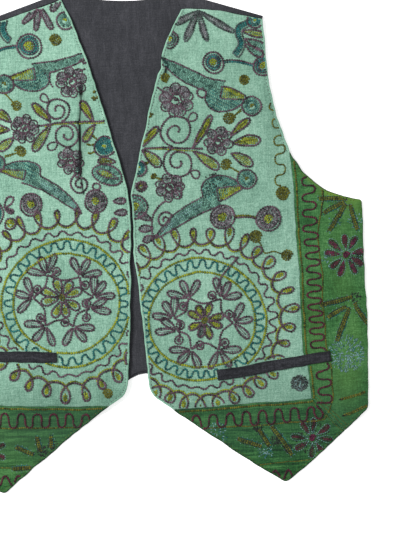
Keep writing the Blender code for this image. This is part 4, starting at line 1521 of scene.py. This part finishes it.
for side, (field, side_border, hem_border) in FRONT_NODES.items():
    down = seam_line(field, [side_border], lambda p: -p.imag)
    sign = 1 if side == "right" else -1
    across = seam_line(field, [hem_border], lambda p: -sign * p.real)
    seam, marks = even(np.concatenate([down, across[1:]]), 4.0)
    sew_on(side, "bronze", beside(seam, 3.2 * sign), cloth="border", pitch=2.4, width=2.8)
    outer = np.interp(marks, *OUTER_LINE)
    sew_on(side, "bronze", beside(seam, outer * sign), cloth="border", pitch=2.4, width=2.0)
    near_armhole = (marks > BESIDE_ARMHOLE[0]) & (marks < BESIDE_ARMHOLE[1])
    second = beside(seam, (outer + 1.1) * sign)[near_armhole]
    sew_on(side, "jet", second, 0.2, "border", pitch=2.4, width=1.2)
    way, marks = even(beside(seam, SNAKE_MIDDLE * sign), SNAKE_STEP)
    kernel = np.ones(2 * SNAKE_SOFTENED + 1) / (2 * SNAKE_SOFTENED + 1)
    way = np.convolve(np.pad(way, SNAKE_SOFTENED, mode="edge"), kernel, mode="valid")
    heading = np.gradient(way)
    heading = heading / np.abs(heading)
    period = np.interp(marks, *SNAKE_PERIOD)
    phase = np.cumsum(2 * pi * SNAKE_STEP / period)
    depth = np.interp(marks, *SNAKE_DEPTH)
    snake = depth * np.sin(phase) * 1j * heading - 0.075 * period * np.sin(2 * phase) * heading
    sew_on(side, "garnet", way + snake, 0.1, cloth="border", pitch=2.4, width=2.9)
    # Two uneven swings along the line choose its dark stretches
    dark = np.sin(marks / 17.0) + np.sin(marks / 5.3 + 1.0) > 0.7
    for stretch in np.split(np.arange(len(marks)), np.flatnonzero(np.diff(dark)) + 1):
        if dark[stretch[0]] and len(stretch) > 4:
            sew_on(side, "jet", (way + snake)[stretch], 0.35, "border", pitch=2.4, width=1.7)
    mitre = seam_line(side_border, [hem_border], lambda p: sign * p.real)
    for off in (-2.6, 2.6, 6.4):
        sew_on(side, "bronze", beside(even(mitre, 4.0)[0], off), cloth="border", width=0.9)
    low = across.imag.mean()
    line = np.array([complex(sign * 112.0, low - 73.0), complex(sign * 206.0, low - 68.0)])
    sew_on(side, "bronze", line, cloth="border", width=1.5)
    tip = np.linspace(sign * 135.0, sign * 200.0, 120)
    wave = tip + 1j * (low - 85.0 + 6.0 * np.sin(tip * 2 * pi / 15.0))
    sew_on(side, "garnet", wave, cloth="border", pitch=2.3, width=3.0)
    # Painted shadow: a dark jet line just below the garnet wave stands for the wave's shade
    sew_on(side, "jet", wave - 1.8j, cloth="border", pitch=2.3, width=1.4)
    # The row of small stitches that holds each folded edge down
    for name in FRONT_NODES[side]:
        for start, end in list(zip(*finished_edges[name]))[::2]:
            inward = 1j * (end - start) / abs(end - start) * 2.9
            stitch = np.array([start, end]) * 0.9 + (start + end) / 2 * 0.1 + inward
            thread = "plum" if name == field else "bronze"
            cloth = "field" if name == field else "border"
            sew_on(side, thread, stitch, -0.15, cloth, pitch=2.0, width=0.8)


# ---------------------------------------------------------------------------------------------
# The stitches: every line that was sewn becomes chain stitches in relief, which lie on the cloth in
# one mesh for each thread on each front.


def thread_finish(name, dark, pale):
    """Twisted cotton thread: painted lighter on top and darker at the sides, as light falls on it,
    with the twist in its surface.
    """
    thread = Finish(f"{name}_thread", 0.6, 0.12)
    tone = thread.share_of("tone")
    uv = {"Vector": thread.add("ShaderNodeTexCoord", output=2)}
    along = thread.add("ShaderNodeSeparateXYZ", {}, uv, 0)
    across = thread.add("ShaderNodeSeparateXYZ", {}, uv, 1)
    spun = ((along * 4.0 + across) * 2 * pi).sine()
    fuzz = thread.grain(thread.place(), (1500.0, 1500.0, 1500.0), 2.0, 0.6)
    # The twist is painted into the colour too, as light and shade along the strands
    share = thread.ramp(tone + spun * 0.08 + (fuzz - 0.5) * 0.5, (0.0, grey(0.0)), (0.9, grey(1.0)))
    thread.colour(thread.blend(share, from_screen(*dark), from_screen(*pale)))
    thread.emboss((spun * 0.5 + fuzz, 0.08 * MM))
    return thread.material


# A chain stitch's rows from its start to its end: place along it, half width, height of its two
# strands, height of the dip between them. Widths and heights are shares of the stitch's own.
STITCH_ROWS = ((0.24, 0.28, 0.7, 0.42), (0.6, 0.5, 1.0, 0.46), (0.93, 0.42, 0.85, 0.5))
STITCH_HEIGHT = 0.36
STITCH_SINK = 0.04
# Each stitch's place between its thread's dark and pale shades: the middle one, how far it drifts
# over the cloth and how long its waves are, and how far it strays by chance
TONE_MIDDLE, TONE_DRIFT, TONE_WAVES, TONE_CHANCE = 0.44, 0.42, 9.0, 0.21


def stitch_shape():
    """One stitch: a row for each corner of place along, share across and height, and its faces."""
    corners = [(0.0, 0.0, 0.30)]
    for along, half, strand, dip in STITCH_ROWS:
        corners += [(along, -half, 0.0), (along, -half * 0.6, strand), (along, 0.0, dip)]
        corners += [(along, half * 0.6, strand), (along, half, 0.0)]
    corners.append((1.12, 0.0, 0.3))
    end = len(corners) - 1
    faces = [(0, 1 + k, 2 + k) for k in range(4)]
    for row in (0, 1):
        a, b = 1 + row * 5, 6 + row * 5
        for k in range(4):
            faces += [(a + k, b + k, b + k + 1), (a + k, b + k + 1, a + k + 1)]
        faces += [(a, a + 4, b + 4), (a, b + 4, b)]
    faces += [(11 + k, end, 12 + k) for k in range(4)]
    faces += [(0, 5, 1), (15, end, 11)]
    return np.array(corners), np.array(faces)


def make_stitches(name, work, relief, material):
    """All the stitches of one thread on one front, as one mesh that lies on the cloth."""
    corners, faces = stitch_shape()
    count = len(work)
    start, end = work[:, 0], work[:, 1]
    width, lift = work[:, 2].real, work[:, 3].real
    chance = np.random.default_rng(len(name) * 7 + count)
    width = width * chance.uniform(0.88, 1.12, count)
    way = (end - start) * np.exp(1j * chance.normal(0.0, 0.07, count))
    side = 1j * way / np.abs(way)
    low, high = relief.face_at(start), relief.face_at(end)
    u, v, h = corners.T
    laid = drawn(start)
    places = laid[:, None] + way[:, None] * u + side[:, None] * v * width[:, None]
    rise = h * (STITCH_HEIGHT * width * chance.uniform(0.85, 1.15, count))[:, None]
    z = low[:, None] + (high - low)[:, None] * u + rise + lift[:, None] - STITCH_SINK
    verts = np.stack([places.real, places.imag, z], axis=2).reshape(-1, 3) * MM
    triangles = (faces[None] + np.arange(count)[:, None, None] * len(corners)).reshape(-1, 3)
    mesh = bpy.data.meshes.new(name)
    mesh.from_pydata(verts.tolist(), [], triangles.tolist())
    waves = start / TONE_WAVES
    drift = np.array([noise.noise(Vector((p.real, p.imag, 2.0))) for p in waves])
    tone = TONE_MIDDLE + TONE_DRIFT * drift + chance.normal(0.0, TONE_CHANCE, count)
    tone = np.clip(tone, 0.0, 1.0)
    shade = mesh.attributes.new("tone", "FLOAT", "POINT")
    # Painted light: each stitch's strand tops are paler and its sides and dip darker, and stitches
    # over a pressed fold are darker, as painted shadow
    sunk = np.clip(relief.at(start) - relief.face_at(start), 0.0, 1.0)
    tone_and_painted_light = tone[:, None] + (h - 0.6) * 0.6 - sunk[:, None]
    shade.data.foreach_set("value", tone_and_painted_light.ravel())
    twist = mesh.uv_layers.new(name="twist")
    which = np.tile(faces.ravel(), count)
    twist.data.foreach_set("uv", np.stack([u[which], v[which] + 0.5], axis=1).ravel())
    mesh.shade_smooth()
    mesh.materials.append(material)
    return added(name, mesh)


# How far the stitches keep from a seam or a welt, and from a folded edge
SEAM_CLEAR = 1.0
FOLD_CLEAR = 2.2


def kept_stitches(side, work):
    """The stitches that lie on their own cloth, clear of its edges and seams and of the welt."""
    middle = (work[:, 0] + work[:, 1]) / 2
    on_border = work[:, 4].real > 0.5
    keep = np.zeros(len(work), bool)
    for name in FRONT_NODES[side]:
        outline = outlines[name]
        inside = within(work[:, 0], outline) & within(work[:, 1], outline)
        clear = off_edge(middle, outline) > SEAM_CLEAR
        keep |= inside & clear & (on_border != name.endswith("field"))
    folded = [finished_edges[name] for name in FRONT_NODES[side]]
    starts = np.concatenate([edge[0] for edge in folded])
    ends = np.concatenate([edge[1] for edge in folded])
    keep &= distance(middle, starts, ends) > FOLD_CLEAR
    welt = welt_outlines[side]
    keep &= ~within(middle, welt) & (off_edge(middle, welt) > SEAM_CLEAR)
    return work[keep]


thread_materials = {
    thread: thread_finish(thread, dark, pale) for thread, (dark, pale, _) in THREADS.items()
}
embroidery = {side: [] for side in FRONT_NODES}
for side in FRONT_NODES:
    for thread, (_, _, slot) in THREADS.items():
        work = kept_stitches(side, np.concatenate(stitching[side][thread]))
        name = f"{side}_{thread}_stitches"
        piece = make_stitches(name, work, reliefs[side], thread_materials[thread])
        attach(piece, "root")
        embroidery[side].append(piece)
        print(name, len(work), "stitches")

for side, names in FRONT_NODES.items():
    for name in names:
        cloth_area(outlines[name])

# ---------------------------------------------------------------------------------------------
# The floor, the lights and the camera, which looks straight down with the waistcoat a little rolled.

bpy.ops.mesh.primitive_plane_add(size=14.0, location=(0.0, 0.0, -0.3 * MM))
floor = bpy.context.object
floor.name = "floor"
pale = Finish("pale_floor", 0.9, 0.0)
pale.colour((0.92, 0.92, 0.92, 1.0))
pale.shader.inputs["Emission Color"].default_value = (1.0, 1.0, 1.0, 1.0)
pale.shader.inputs["Emission Strength"].default_value = 0.45
floor.data.materials.append(pale.material)

FRAME_LENGTH = 0.6494
EYE_HEIGHT = 1.8
ROLL = -2.6
camera_data = bpy.data.cameras.new("camera")
camera_data.sensor_width = 36.0
camera_data.lens = 36.0 * EYE_HEIGHT / FRAME_LENGTH
camera = added("camera", camera_data)
camera.location = (0.0857, -0.0498, EYE_HEIGHT)
camera.rotation_euler = Euler((0.0, 0.0, radians(ROLL)))
bpy.context.scene.camera = camera

# A light's columns: x, y, z, width of the panel, power in watts
LIGHTS = ((-1.5, 0.75, 1.5, 0.7, 62.0), (1.2, -0.6, 2.0, 2.0, 6.0))
for index, (x, y, z, size, power) in enumerate(LIGHTS):
    bpy.ops.object.light_add(type="AREA", location=(x, y, z))
    light = bpy.context.object
    light.name = f"soft_panel_{index}"
    light.data.size = size
    light.data.energy = power
    light.rotation_euler = Vector((x, y, z)).to_track_quat("Z", "Y").to_euler()
world = bpy.data.worlds.new("studio")
world.use_nodes = True
world.node_tree.nodes["Background"].inputs["Color"].default_value = (1.0, 1.0, 1.0, 1.0)
world.node_tree.nodes["Background"].inputs["Strength"].default_value = 0.55
bpy.context.scene.world = world
bpy.context.scene.view_settings.view_transform = "Standard"
